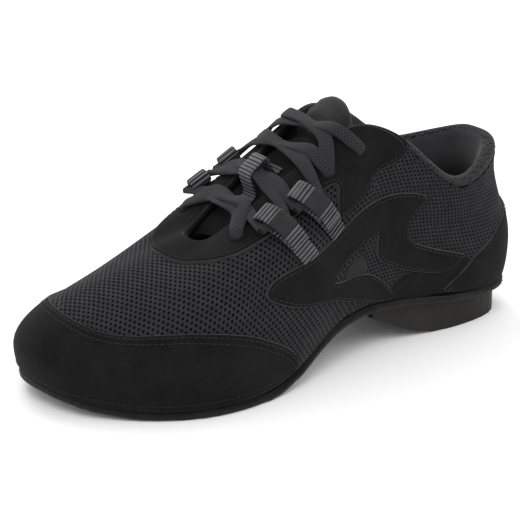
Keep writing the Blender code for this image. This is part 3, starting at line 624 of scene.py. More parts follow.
BLACK_SUEDE = surface_material(
    "black_suede", (0.003, 0.003, 0.0034), (0.0092, 0.0091, 0.0096), 0.94, 1100, 0.75, 0.03, specular=0.08
)
# cut edges and shoulders of the suede, lighter than its face: the edge's own tone with a painted highlight
# along it
CUT_EDGE_HIGHLIGHT = surface_material("cut_edge_highlight", (0.014, 0.014, 0.015), (0.04, 0.04, 0.042), 0.9, 1800, 0.6, 0.1)
MESH_THREAD = surface_material(
    "mesh_thread", (0.0135, 0.0135, 0.015), (0.026, 0.026, 0.0285), 0.75, 2600, 0.5, 0.1
)
MESH_BACKING = surface_material(
    "mesh_backing", (0.0012, 0.0012, 0.0014), (0.0032, 0.0032, 0.0036), 0.95, 1800, 0.4
)
LINING = surface_material(
    "lining_cloth", (0.022, 0.022, 0.024), (0.033, 0.033, 0.0355), 0.88, 2600, 0.5, 0.15
)
PANEL_CLOTH = surface_material(
    "panel_cloth", (0.0088, 0.0088, 0.0098), (0.014, 0.014, 0.0152), 0.82, 2400, 0.35, 0.08
)
TONGUE_CLOTH = surface_material(
    "tongue_cloth", (0.009, 0.009, 0.01), (0.023, 0.023, 0.0245), 0.9, 1300, 0.9, 0.1
)
# webbing ribs: the webbing's colour made lighter, painted light on the raised ribs
LIT_RIB = surface_material(
    "webbing_rib_lit", (0.036, 0.036, 0.039), (0.088, 0.088, 0.093), 0.55, 2600, 0.5, 0.08, specular=0.3
)
# webbing grooves: the webbing's colour made darker, painted shade between the ribs
SHADED_GROOVE = surface_material("webbing_groove_shade", (0.006, 0.006, 0.007), (0.011, 0.011, 0.012), 0.85, 2600, 0.3)
LACE_FLAT = surface_material(
    "webbing_plain", (0.012, 0.012, 0.013), (0.02, 0.02, 0.0215), 0.6, 2600, 0.4, 0.08
)
THREAD = surface_material(
    "sewing_thread", (0.008, 0.008, 0.009), (0.02, 0.02, 0.0215), 0.65, 2600, 0.3, 0.08
)
FRAY = surface_material("frayed_thread", (0.05, 0.05, 0.052), (0.12, 0.12, 0.122), 0.8, 2600, 0.2, 0.3)
SOLE_SUEDE = surface_material(
    "sole_suede", (0.0055, 0.0053, 0.0052), (0.017, 0.0164, 0.016), 0.97, 1300, 0.8, 0.12, fine=0.02
)
RUBBER = surface_material(
    "heel_rubber_dark", (0.015, 0.013, 0.0126), (0.026, 0.0225, 0.0215), 0.55, 700, 0.15, 0.0, fine=0.1
)
RIM_CLOTH = holed_material("rim_mesh", (0.0135, 0.0135, 0.015), (0.024, 0.024, 0.0262), 0.78, 0.0016, 0.34)
# front of the tongue, under the laces and between the eyestays: darker cloth that also paints the shade there
SHADED_TONGUE_FRONT = surface_material(
    "tongue_front_shaded", (0.0032, 0.0032, 0.0036), (0.0092, 0.0092, 0.01), 0.92, 1300, 0.9, 0.04
)
INSOLE_CLOTH = surface_material(
    "insole_cloth", (0.008, 0.008, 0.0088), (0.015, 0.015, 0.0162), 0.92, 2000, 0.6, 0.1
)
LACE = braid_material(
    "lace_braid", (0.0068, 0.0068, 0.0078), (0.0215, 0.0215, 0.0236), 0.78, 0.26, 0.24, 0.6, 0.05
)


def smooth(mesh):
    mesh.polygons.foreach_set("use_smooth", np.ones(len(mesh.polygons), bool))


def finish_piece(name, points, faces, surfaces, indices=None, replaces=()):
    """Makes a mesh piece, gives it materials, and hands it to the body."""
    mesh = bpy.data.meshes.new(name)
    mesh.from_pydata(np.asarray(points, float).tolist(), [], [tuple(map(int, face)) for face in faces])
    for surface in surfaces:
        mesh.materials.append(surface)
    if indices is not None:
        mesh.polygons.foreach_set("material_index", np.asarray(indices, np.int32))
    smooth(mesh)
    mesh.update()
    made = bpy.data.objects.new(name, mesh)
    bpy.context.scene.collection.objects.link(made)
    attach(made, "root")
    if replaces:
        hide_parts(*replaces)
    return made


def rework(made, merge=0.0, thin=0.0, outward=True, facing=None):
    """Joins near points, drops thin faces, and turns faces outward or the way the first should face."""
    work = bmesh.new()
    work.from_mesh(made.data)
    if merge:
        bmesh.ops.remove_doubles(work, verts=work.verts, dist=merge)
    if thin:
        bmesh.ops.dissolve_degenerate(work, edges=work.edges, dist=thin)
    if outward:
        bmesh.ops.recalc_face_normals(work, faces=work.faces)
        work.faces.ensure_lookup_table()
        inward = work.calc_volume(signed=True) < 0
        if facing is not None:
            inward = np.dot(np.array(work.faces[0].normal), facing) < 0
        if inward:
            bmesh.ops.reverse_faces(work, faces=work.faces)
    work.to_mesh(made.data)
    work.free()
    smooth(made.data)


def ring_faces(rings, count, closed=True):
    """Quads between rings of count points; closed joins the last ring back to the first."""
    i, j = np.meshgrid(np.arange(rings if closed else rings - 1), np.arange(count), indexing="ij")
    k = (j + 1) % count
    m = (i + 1) % rings
    quads = np.stack([i * count + j, i * count + k, m * count + k, m * count + j], -1)
    return quads.reshape(-1, 4)


def tube_faces(rings, count, first=0):
    """Faces of a tube closed at both ends, whose points start at a given number."""
    last = first + count * (rings - 1)
    faces = [tuple(face) for face in ring_faces(rings, count, closed=False) + first]
    return [*faces, tuple(range(first + count - 1, first - 1, -1)), tuple(range(last, last + count))]


def grid_faces(rows, across):
    """Quads of an open grid of points."""
    i, j = np.meshgrid(np.arange(rows - 1), np.arange(across - 1), indexing="ij")
    a = i * across + j
    return np.stack([a, a + 1, a + across + 1, a + across], -1).reshape(-1, 4)


# padding inside the collar: the rows it grows over, its height on the side, and how thick it is
PLUMP_FROM = 7.6
PLUMP_OVER = 2.4
PLUMP_RISE = (0.80, 0.16)
PLUMP_DEPTH = 0.0018

# rings of the shell's outer face, rolled edge and inner face
OUTER_RINGS = 61
ROLL_RINGS = 9
INNER_RINGS = 41
# the edge is mesh behind this row and suede before it, over so many rings past the outer face
EDGE_SPLIT = 8.0
MESH_EDGE_RINGS = 8
SUEDE_EDGE_RINGS = 17


def plump(row, rise):
    """Extra padding inside the collar."""
    back = np.clip((np.abs(signed_row(row)) - PLUMP_FROM) / PLUMP_OVER, 0, 1)
    roll = np.exp(-(((np.asarray(rise, float) - PLUMP_RISE[0]) / PLUMP_RISE[1]) ** 2))
    return PLUMP_DEPTH * back * back * (3 - 2 * back) * roll


def shell():
    """Upper: backing outside, rolled top edge and lining inside, in one closed skin."""
    around = np.arange(20 * ROUND) / 20
    rings = [skin(around, rise) for rise in np.linspace(0, 1, OUTER_RINGS)]
    edge = skin(around, 1.0)
    out = skin_normal(around, 1.0)
    climb = unit(upper_skin(around, 1.0) - upper_skin(around, 0.98))
    half = wall(around, 1.0)[:, None] / 2
    for a in np.radians(np.linspace(0, 180, ROLL_RINGS + 2)[1:-1]):
        rings.append(edge - out * half + half * (out * math.cos(a) + climb * math.sin(a)))
    for rise in np.linspace(1, 0, INNER_RINGS):
        rings.append(skin(around, rise, -(wall(around, rise) + plump(around, rise))))
    for index in (0, -1):
        rings[index][:, 2] = seat(rings[index][:, 0] - SHIFT[0])
    kind = np.repeat(np.arange(len(rings)), len(around)) - OUTER_RINGS
    behind = np.abs(signed_row(np.tile(around, len(rings)))) >= EDGE_SPLIT
    indices = np.where(kind < -1, 0, 1)
    indices[(kind >= -2) & (kind < MESH_EDGE_RINGS) & behind] = 3
    indices[(kind >= -2) & (kind < SUEDE_EDGE_RINGS) & ~behind] = 2
    surfaces = (MESH_BACKING, LINING, BLACK_SUEDE, RIM_CLOTH)
    faces = ring_faces(len(rings), len(around))
    rework(finish_piece("shell", np.concatenate(rings), faces, surfaces, indices, ("upper",)))


def jacobian(points):
    """How position changes with row and with rise at each outline point."""
    row, rise = points[:, 0], points[:, 1]
    by_row = (upper_skin(row + 0.01, rise) - upper_skin(row - 0.01, rise)) / 0.02
    low = np.clip(rise - 0.005, 0, None)
    by_rise = (upper_skin(row, rise + 0.005) - upper_skin(row, low)) / (rise + 0.005 - low)[:, None]
    return by_row, by_rise


def inset(points, distance):
    """Closed outline moved inward by a true distance on the upper."""
    by_row, by_rise = jacobian(points)
    place = upper_skin(points[:, 0], points[:, 1])
    along = unit(np.roll(place, -1, 0) - np.roll(place, 1, 0))
    area = np.sum(points[:, 0] * np.roll(points[:, 1], -1) - np.roll(points[:, 0], -1) * points[:, 1])
    normal = skin_normal(points[:, 0], points[:, 1])
    inward = unit(np.cross(normal, along)) * np.sign(area)
    a = np.sum(by_row * by_row, 1)
    b = np.sum(by_row * by_rise, 1)
    c = np.sum(by_rise * by_rise, 1)
    p = np.sum(by_row * inward, 1)
    q = np.sum(by_rise * inward, 1)
    fall = np.maximum(a * c - b * b, 1e-12)
    move = np.stack([(c * p - b * q) / fall, (a * q - b * p) / fall], 1)
    moved = points + move * np.asarray(distance, float).reshape(-1, 1)
    return np.stack([moved[:, 0], np.maximum(moved[:, 1], 0.0)], 1)


def all_inside(points, outline):
    """Which of many points lie inside a closed outline."""
    x, y = points[:, 0][:, None], points[:, 1][:, None]
    a, b = outline[None], np.roll(outline, -1, 0)[None]
    spans = (a[..., 1] > y) != (b[..., 1] > y)
    rise = np.where(b[..., 1] == a[..., 1], 1.0, b[..., 1] - a[..., 1])
    cross = a[..., 0] + (y - a[..., 1]) * (b[..., 0] - a[..., 0]) / rise
    return (np.count_nonzero(spans & (x < cross), axis=1) % 2).astype(bool)


SHOULDER_INSET = 0.00035
SHELF_INSET = 0.0011
SHOULDER_SHARE = 0.93
EDGE_SHARE = 0.62


def panel(name, outline, top, spacing, surfaces, replaces=(), rounds=3):
    """Overlay in sheet form: flat cut edge, small round shoulder, and an even top that follows the upper."""
    edge = evened(softened(outline, rounds), spacing * 0.75)
    count = len(edge)
    shelf = inset(edge, SHELF_INSET) * FLAT_SCALE
    low, high = shelf.min(0), shelf.max(0)
    grid = []
    for i, x in enumerate(np.arange(low[0], high[0], spacing)):
        ys = np.arange(low[1] + (i % 2) * spacing / 2, high[1], spacing)
        grid.append(np.stack([np.full_like(ys, x), ys], 1))
    grid = np.concatenate(grid)
    grid = grid[all_inside(grid, shelf)]
    clear = [np.linalg.norm(point - shelf, axis=1).min() > spacing * 0.5 for point in grid]
    flat = [tuple(point) for point in (*shelf, *grid[clear])]
    found, _, triangles, *_ = geometry.delaunay_2d_cdt(flat, [], [list(range(count))], 1, 1e-8)
    middle = np.array([tuple(point) for point in found]) / FLAT_SCALE
    points = [*skin(*middle.T, top)]
    shoulder = inset(edge, SHOULDER_INSET)
    rings = ((shoulder, top * SHOULDER_SHARE, 0), (edge, top * EDGE_SHARE, 1), (edge, 0.0, 1))
    faces = [tuple(face) for face in triangles]
    indices = [0] * len(faces)
    upper = np.arange(count)
    for ring, height, kind in rings:
        lower = len(points) + np.arange(count)
        points += [*skin(*ring.T, height)]
        faces += np.stack([upper, np.roll(upper, -1), np.roll(lower, -1), lower], 1).tolist()
        indices += [kind] * count
        upper = lower
    made = finish_piece(name, points, faces, surfaces, indices, replaces)
    rework(made, facing=skin_normal(*middle[triangles[0][0]]))
    return edge


class FrontMap:
    """Flat measures over one side of the forefoot: along the shoe, and down from the middle of the top."""

    STEP = 0.001
    DOWN_STEP = 0.0005
    DOWN_RANGE = (-0.020, 0.150)
    LAST_ROW = 8.6

    def __init__(self, side):
        self.side = side
        rows = np.linspace(0, self.LAST_ROW, 345)
        rises = np.linspace(0, 1, 161)
        grid = upper_skin(on_side(rows, side)[:, None], rises[None])
        self.xs = np.arange(-LENGTH / 2, grid[-1, :, 0].min(), self.STEP)
        self.down = np.arange(*self.DOWN_RANGE, self.DOWN_STEP)
        row_at = []
        for line in grid[..., 0].T:
            x = np.maximum.accumulate(line + np.arange(len(rows)) * 1e-9)
            row_at.append(np.interp(self.xs, x, rows, left=np.nan, right=np.nan))
        row_at = np.array(row_at).T
        # the top of the toe runs on over the centre line to the other side
        past = np.linspace(-0.9, -0.05, 40)
        beyond = upper_skin(on_side(past, side)[:, None], rises[None])
        front = upper_skin(0.0, rises)
        tip = int(np.argmin(front[:, 0]))
        self.tables = np.full((2, len(self.xs), len(self.down)), np.nan)
        for i, x in enumerate(self.xs):
            keep = np.flatnonzero(~np.isnan(row_at[i]))[::-1]
            if len(keep) < 3:
                continue
            turn, high = row_at[i, keep], rises[keep]
            centre = 0
            if x < front[-1, 0] - 0.0005:
                over = [np.interp(x, line[tip:, 0], rises[tip:]) for line in (*beyond, front)]
                turn, high = np.concatenate([past, [0.0], turn]), np.concatenate([over, high])
                centre = len(past)
            points = upper_skin(on_side(turn, side), high)
            run = run_along(points)
            run += side * (points[centre, 1] - front[-1, 1]) - run[centre]
            for table, values in zip(self.tables, (turn, high)):
                table[i] = np.interp(self.down, run, values, left=np.nan, right=np.nan)

    def at(self, along, down):
        """Row and rise of flat places; nan where the cloth does not reach."""
        u = (along - self.xs[0]) / self.STEP
        v = (down - self.down[0]) / self.DOWN_STEP
        good = (u >= 0) & (u < len(self.xs) - 1) & (v >= 0) & (v < len(self.down) - 1)
        i = np.clip(u.astype(int), 0, len(self.xs) - 2)
        j = np.clip(v.astype(int), 0, len(self.down) - 2)
        f, g = u - i, v - j
        low = self.tables[:, i, j] * (1 - g) + self.tables[:, i, j + 1] * g
        high = self.tables[:, i + 1, j] * (1 - g) + self.tables[:, i + 1, j + 1] * g
        row, rise = np.where(good, low * (1 - f) + high * f, np.nan)
        return on_side(row, self.side), rise

    def span(self):
        return self.xs[0], self.xs[-1], self.down[0], self.down[-1]


class RearMap:
    """Flat measures round the heel: along the middle of the side, and up from the sole."""

    MIDDLE_RISE = 0.62
    ROW_COUNT = 400
    RISE_COUNT = 101

    def __init__(self, first, last):
        self.rows = np.linspace(first, last, self.ROW_COUNT)
        ring = upper_skin(self.rows, self.MIDDLE_RISE)
        self.run = run_along(ring)
        self.rises = np.linspace(0, 1, self.RISE_COUNT)
        grid = upper_skin(self.rows[:, None], self.rises[None])
        climb = np.linalg.norm(np.diff(grid, axis=1), axis=2)
        self.up = np.concatenate([np.zeros((len(self.rows), 1)), np.cumsum(climb, 1)], 1)

    def at(self, along, up):
        row = np.interp(along, self.run, self.rows, left=np.nan, right=np.nan)
        index = np.clip(np.interp(along, self.run, np.arange(len(self.rows))), 0, len(self.rows) - 1)
        near = np.round(index).astype(int)
        rise = np.full(len(along), np.nan)
        for k in np.unique(near):
            pick = near == k
            rise[pick] = np.interp(up[pick], self.up[k], self.rises, left=np.nan, right=np.nan)
        return row, rise

    def span(self):
        return 0.0, self.run[-1], 0.0, self.up[:, -1].max()


HEXAGON = np.radians(np.arange(6) * 60 + 30)
# the front mesh ends and the heel mesh begins at this row
FRONT_ROWS = 7.5
FRONT_PITCH = 0.00235
HEEL_PITCH = 0.00205
FRONT_RISES = (0.004, 0.995)
HEEL_RISES = (0.004, 0.985)
REAR_FROM = 7.0
# how far the mesh runs in under the suede and under the side panels
SUEDE_COVER = 0.0016
PANEL_COVER = 0.0012
# rings of one mesh hole, from the cell's border over the thread into the hole: size, stretch and height
HOLE_RINGS = (
    (1.0, 1.0, 0.00022),
    (0.78, 1.02, 0.00052),
    (0.57, 1.06, 0.00030),
    (0.516, 1.06, -0.00008),
)
MESH_MERGE = 0.00012


def air_mesh(name, plan, pitch, covers, rise_range, row_range, start=0):
    """Knitted cloth with staggered open holes, as rounded threads over the dark backing."""
    low_x, high_x, low_y, high_y = plan.span()
    step_y = pitch * math.sqrt(3) / 2
    centres = []
    for k in range(math.ceil(low_y / step_y), math.floor(high_y / step_y)):
        xs = np.arange(low_x + ((k + start) % 2) * pitch / 2, high_x, pitch)
        centres.append(np.stack([xs, np.full_like(xs, (k + 0.5) * step_y)], 1))
    centres = np.concatenate(centres)
    row, rise = plan.at(*centres.T)
    good = ~np.isnan(row) & (rise > rise_range[0]) & (rise < rise_range[1])
    good &= (row > row_range[0]) & (row < row_range[1])
    centres, flat = centres[good], np.stack([row[good], rise[good]], 1)
    hidden = np.zeros(len(flat), bool)
    for cover in covers:
        for turn in (-ROUND, 0, ROUND):
            hidden |= all_inside(flat + (turn, 0), cover)
    centres = centres[~hidden]
    points = []
    for size, stretch, height in HOLE_RINGS:
        radius = pitch / math.sqrt(3) * size
        ring = np.stack([np.cos(HEXAGON) * radius, np.sin(HEXAGON) * radius * stretch], 1)
        row, rise = plan.at(*(centres[:, None] + ring[None]).reshape(-1, 2).T)
        lost = np.isnan(row) | np.isnan(rise)
        spots = skin(np.nan_to_num(row), np.nan_to_num(rise), height)
        points.append(np.where(lost[:, None], np.nan, spots).reshape(-1, 6, 3))
    points = np.stack(points, 1)
    points = points[~np.isnan(points).any(axis=(1, 2, 3))]
    cells = (np.arange(len(points)) * points.shape[1] * 6)[:, None, None]
    faces = np.concatenate(cells + ring_faces(len(HOLE_RINGS), 6, closed=False))
    made = finish_piece(name, points.reshape(-1, 3), faces, (MESH_THREAD,))
    rework(made, merge=MESH_MERGE, outward=False)


# one stitch: length, the gap to the next and width, then rings of place along it, size and height
STITCH = 0.0020
STITCH_GAP = 0.0007
STITCH_WIDTH = 0.00042
STITCH_RINGS = (
    (-0.5, 0.35, 0.0001),
    (-0.38, 0.9, 0.0002),
    (0.38, 0.9, 0.0002),
    (0.5, 0.35, 0.0001),
)


def stitches(name, paths):
    """Rows of short sewn stitches along paths of row, rise and height."""
    points, faces = [], []
    for path in paths:
        row, rise, height = path.T
        place = skin(row, rise, height)
        run = run_along(place)
        normal = skin_normal(row, rise)
        for start in np.arange(STITCH_GAP, run[-1] - STITCH, STITCH + STITCH_GAP):
            middle, near, far = read_at(start + STITCH * np.array([0.5, 0.0, 1.0]), run, place)
            up = unit(read_at(start + STITCH / 2, run, normal))
            if np.linalg.norm(far - near) < STITCH * 0.3:
                continue
            way = unit(far - near)
            side = unit(np.cross(up, way))
            faces += tube_faces(len(STITCH_RINGS), 6, len(points))
            for share, size, lift in STITCH_RINGS:
                here = middle + way * share * STITCH + up * lift
                for a in HEXAGON - HEXAGON[0]:
                    round_way = side * math.cos(a) + up * math.sin(a) * 0.8
                    points.append(here + round_way * STITCH_WIDTH / 2 * size)
    finish_piece(name, points, faces, (THREAD,))


def seam_path(edge, distance):
    """Closed path a set distance inside a panel's edge, for stitches on its top."""
    line = inset(edge, distance)
    line = np.vstack([line, line[:1]])
    return np.column_stack([line, np.full(len(line), TOP)])


def open_part(path, keep):
    """Longest stretch of a path where keep holds."""
    best = []
    run = []
    for point, use in zip(path, keep):
        if use:
            run.append(point)
        else:
            best = max(best, run, key=len)
            run = []
    return np.array(max(best, run, key=len))


TOP = 0.0017
FOOT_RISE = SEAT_RISE / 4
COUNTER_END = 9.25
# seams that run open: panel, distance inside its edge, and the rises they keep between
OPEN_SEAMS = (
    ("toe", 0.0018, 0.035, 2.0),
    ("toe", 0.0042, 0.035, 2.0),
    ("eyestay", 0.0017, -1.0, EDGE_RISE - 0.06),
    ("counter", 0.0018, 0.035, 2.0),
)
FLAME_SEAM = 0.0015


def overlays():
    """Suede overlays with their cut edges; their outlines are given back."""
    inner = [(row, 1.0) for row in np.linspace(-7.9, 7.9, 25)]
    toe = [(-5.80, FOOT_RISE), *TOE_CAP_TOP, (5.90, FOOT_RISE)]
    eyestay = [*inner, *EYESTAY_LOWER, *mirrored(EYESTAY_LOWER, 0.0)]
    counter = [(COUNTER_END, FOOT_RISE), *COUNTER_TOP]
    counter += mirrored(counter, ROUND)
    table = (
        ("toe", "toe_suede", "toe_cap", toe, 0.0020, 3),
        ("eyestay", "eyestay_suede", "eyestay", eyestay, 0.0018, 3),
        ("lateral", "flame_lateral", "side_overlay_lateral", FLAME, 0.0015, 2),
        ("medial", "flame_medial", "side_overlay_medial", mirrored(FLAME, ROUND), 0.0015, 2),
        ("counter", "counter_suede", "heel_counter", counter, 0.0019, 3),
    )
    edges = {}
    for key, name, node, outline, spacing, rounds in table:
        edges[key] = panel(name, outline, TOP, spacing, (BLACK_SUEDE, CUT_EDGE_HIGHLIGHT), (node,), rounds=rounds)
    return edges


def seams(edges):
    """Sewn rows on the suede."""
    paths = []
    for key, distance, low, high in OPEN_SEAMS:
        path = seam_path(edges[key], distance)
        start = int(np.argmin((path[:, 1] > low) & (path[:, 1] < high)))
        turned = np.roll(path[:-1], -start, 0)
        paths.append(open_part(turned, (turned[:, 1] > low) & (turned[:, 1] < high)))
    paths += [seam_path(edges[key], FLAME_SEAM) for key in ("lateral", "medial")]
    stitches("overlay_seams", paths)


# half of a band's cross section: share of its half width, and height as a share of its thickness
BAND = ((-1.0, 0.0), (-0.94, 0.42), (-0.6, 0.5), (0.0, 0.52), (0.6, 0.5), (0.94, 0.42), (1.0, 0.0))


def ribbon(name, centres, across, lifts, width, thickness, kind, surfaces, replaces):
    """Woven band with rounded edges, swept through stations."""
    shape = [*BAND, *[(share, -height) for share, height in BAND[-2:0:-1]]]
    rings = []
    for share, height in shape:
        rings.append(centres + SHIFT + across * share * width / 2 + lifts * (height * thickness)[:, None])
    indices = [*np.repeat(kind[:-1], len(shape)), 0, 0]
    points = np.stack(rings, 1).reshape(-1, 3)
    faces = tube_faces(len(centres), len(shape))
    rework(finish_piece(name, points, faces, surfaces, indices, replaces))


def smooth_path(points, spacing):
    """Even points on a rounded curve through the given ones, their distances and those of the given ones."""
    points = np.asarray(points, float)
    run = run_along(points)
    slope = np.gradient(points, run, axis=0)
    at = np.arange(0, run[-1] + spacing / 2, spacing)
    i = np.clip(np.searchsorted(run, at) - 1, 0, len(run) - 2)
    step = (run[i + 1] - run[i])[:, None]
    f = (at - run[i])[:, None] / step
    return hermite(f, step, points[i], slope[i], points[i + 1], slope[i + 1]), at, run


# ribs of the webbing: pitch, the share of it that stands up, where the painted shade of the groove begins, and
# the plain stretch beyond the fold
RIB_PITCH = 0.00175
RIB_SHARE = 0.62
GROOVE_FROM = 0.60
PLAIN_STRETCH = (0.0095, 0.0185)
# thickness as a share of the strap's: between ribs, what a rib adds, and on the plain stretch
RIB_LOW, RIB_SWELL, PLAIN_THICK = 0.62, 0.60, 0.80
STRAP_TAIL = (0.004, 0.0009)
ON_MESH = 0.0016


class StraightLine(StrapLine):
    """A strap's line pulled straight over the upper, in the plane through its two ends."""

    def __init__(self, line):
        ends = upper_skin(*line.low), upper_skin(*line.high)
        way = unit(ends[1] - ends[0])
        middle = (line.low + line.high) / 2
        off = unit(np.cross(way, skin_normal(*middle)))
        self.backs = np.linspace(-line.length - 0.006, 0.012, 90)
        place = np.stack(line.place(self.backs), 1)
        for _ in range(12):
            here = upper_skin(place[:, 0], place[:, 1]) - ends[1]
            miss = np.stack([here @ way - self.backs, here @ off], 1)
            by_row, by_rise = jacobian(place)
            a, b = by_row @ way, by_rise @ way
            c, d = by_row @ off, by_rise @ off
            fall = a * d - b * c
            place[:, 0] -= (d * miss[:, 0] - b * miss[:, 1]) / fall
            place[:, 1] -= (a * miss[:, 1] - c * miss[:, 0]) / fall
        self.track = place

    def place(self, back):
        return [np.interp(back, self.backs, self.track[:, k]) for k in (0, 1)]


def ribs(at, ribbed):
    """Thickness share and material index of grosgrain ribs along a band: 0 for the lit rib, 1 for the painted
    shade of the groove, 2 for the plain stretch.
    """
    phase = (at / RIB_PITCH) % 1.0
    swell = np.sin(np.pi * np.clip(phase / RIB_SHARE, 0, 1))
    thick = np.where(ribbed, RIB_LOW + RIB_SWELL * swell, PLAIN_THICK)
    kind = np.where(ribbed & (phase > GROOVE_FROM), 1, np.where(ribbed, 0, 2))
    return thick, kind


def strap(name, line, node):
    """Webbing band up the side and folded over the lace at its top."""
    radius = LOOP_HEIGHT / 2
    path = [(-LOOP_UNDERLAP, STRAP_UNDER), (-LOOP_UNDERLAP / 2, STRAP_UNDER), (0.0, STRAP_UNDER)]
    for angle in np.radians((30, 60, 90, 120, 150, 180)):
        path.append((radius * math.sin(angle), STRAP_UNDER + radius - radius * math.cos(angle)))
    for back, share in STRAP_DROP:
        path.append((back, STRAP_UNDER + share * LOOP_HEIGHT))
    for share in (0.50, 0.35, 0.18, 0.0):
        back = -line.length * (1 - share)
        climb = np.clip((line.place(back)[1] - CLIMB_RISE[0]) / (CLIMB_RISE[1] - CLIMB_RISE[0]), 0, 1)
        path.append((back, ON_MESH + (STRAP_UNDER - ON_MESH) * climb))
    path.append((-line.length - STRAP_TAIL[0], STRAP_TAIL[1]))
    measured, _, _ = smooth_path(path, RIB_PITCH / 7)
    centres, _, across, _ = StraightLine(line).frame(*measured.T)
    run = run_along(centres)
    past = run - run[np.argmax(measured[:, 0])]
    thick, kind = ribs(run, (past < PLAIN_STRETCH[0]) | (past > PLAIN_STRETCH[1]))
    lifts = unit(np.cross(across, unit(np.gradient(centres, axis=0))))
    surfaces = (LIT_RIB, SHADED_GROOVE, LACE_FLAT)
    ribbon(name, centres, across, lifts, STRAP_WIDTH, STRAP_THICKNESS * thick, kind, surfaces, (node,))


CORD_SIDES = 16
LACE_SINK = 0.0030
# the lace at a plain hole, from inside it outward: how far out, how high above the suede, and size
DIVE = (
    (0.0014, -LACE_SINK, 0.74),
    (0.0016, -0.0004, 0.86),
    (-0.0012, 0.0015, 1.00),
    (-0.0042, 0.0019, 1.08),
)
EDGE_SIZE = 1.08
MIDDLE_SIZE = 1.14
# how far toward the toe the taut lace crosses the eyestay's edge, by the row that it comes from
SLIP_ROWS = (3.5, 3.9, 4.9, 6.1)
LATERAL_SLIP = (0.30, 0.15, 0.06, 0.32)
MEDIAL_SLIP = (0.30, 0.15, 0.06, 0.50)
# where the tied lace sinks into the padded tongue: row, how deep, and over how many rows
PRESSES = ((5.95, 0.0062, 0.38), (5.4, 0.0026, 0.30))
# how far the upper and the lower of two crossing runs lie from their middle
CROSSING_LIFTS = (-0.0002, 0.0013)
LACE_STEP = 0.0010
# uneven width of the lace: two waves, each with its share and length
STIR = ((0.03, 0.0061), (0.02, 0.0023))
# thickness of the lace for its width, both as shares
WIDTH_RANGE = (0.62, 1.08)
THICK_RANGE = (0.90, 0.60)
# the run inside a loop: its reach past the mouth, and how it swells and flattens in the middle
LOOP_REACH = 1.12
LOOP_SWELL = 0.14
LOOP_THICK = 0.92


def press(row):
    """How far the tied lace sinks into the padded tongue at one row."""
    return sum(depth * math.exp(-(((row - at) / width) ** 2)) for at, depth, width in PRESSES)


def flat_cord(name, runs, replaces, surface):
    """Flat woven laces: each run is stations, lifts and sizes; all runs make one piece."""
    angles = np.arange(CORD_SIDES) * 2 * math.pi / CORD_SIDES
    wide, thick = [np.sign(wave) * np.abs(wave) ** 0.8 for wave in (np.cos(angles), np.sin(angles))]
    points, faces, uvs = [], [], []
    for centres, lifts, size in runs:
        way = unit(np.gradient(centres, axis=0))
        across = unit(np.cross(way, lifts))
        lift = unit(np.cross(across, way))
        run = run_along(centres) * 1000
        w = (across[:, None] * wide[None, :, None]) * (LACE_WIDTH / 2 * size[:, 0])[:, None, None]
        t = (lift[:, None] * thick[None, :, None]) * (LACE_THICKNESS / 2 * size[:, 1])[:, None, None]
        faces += tube_faces(len(centres), CORD_SIDES, CORD_SIDES * len(points))
        points += [*(centres[:, None] + w + t)]
        for u, far in zip(run[:-1], run[1:]):
            for v in range(CORD_SIDES):
                uvs += [(u, v), (u, v + 1), (far, v + 1), (far, v)]
        uvs += [(0.0, 0.0)] * (2 * CORD_SIDES)
    made = finish_piece(name, np.concatenate(points), faces, (surface,), None, replaces)
    layer = made.data.uv_layers.new(name="run")
    layer.data.foreach_set("uv", np.asarray(uvs, np.float32).ravel())
    rework(made)


def lace_run(lateral, medial):
    """Control points, lifts and sizes from a lateral stop over the throat to a medial stop."""
    halves = []
    rows = []
    for stop, other, side in ((lateral, medial, -1.0), (medial, lateral, 1.0)):
        turn = np.sign(other.row - stop.row)
        slip = np.interp(stop.row, SLIP_ROWS, LATERAL_SLIP if side < 0 else MEDIAL_SLIP)
        row = stop.row + turn * stop.spread - slip
        place = on_side(row, side)
        edge = raised(place, EDGE_RISE, LACE_ON_EYESTAY)
        start = [(stop.middle - turn * stop.forward, stop.lift, LACE_GATHER)]
        if not stop.forward.any():
            outward = unit(stop.middle - edge)
            hole = stop.middle - stop.lift * (LACE_ON_EYESTAY - TOP)
            leans = (outward, unit(stop.lift * 0.5 + outward), unit(stop.lift + outward * 0.25), stop.lift)
            start = []
            for (out, height, size), lean in zip(DIVE, leans):
                start.append((hole + outward * out + stop.lift * height, lean, size))
        halves.append([*start, (edge, skin_normal(place, EDGE_RISE), EDGE_SIZE)])
        rows.append(row)
    middle = sum(rows) / 2
    over = (crossing(middle) - UP * press(middle), UP, MIDDLE_SIZE)
    return [list(column) for column in zip(*halves[0], over, *halves[1][::-1])]


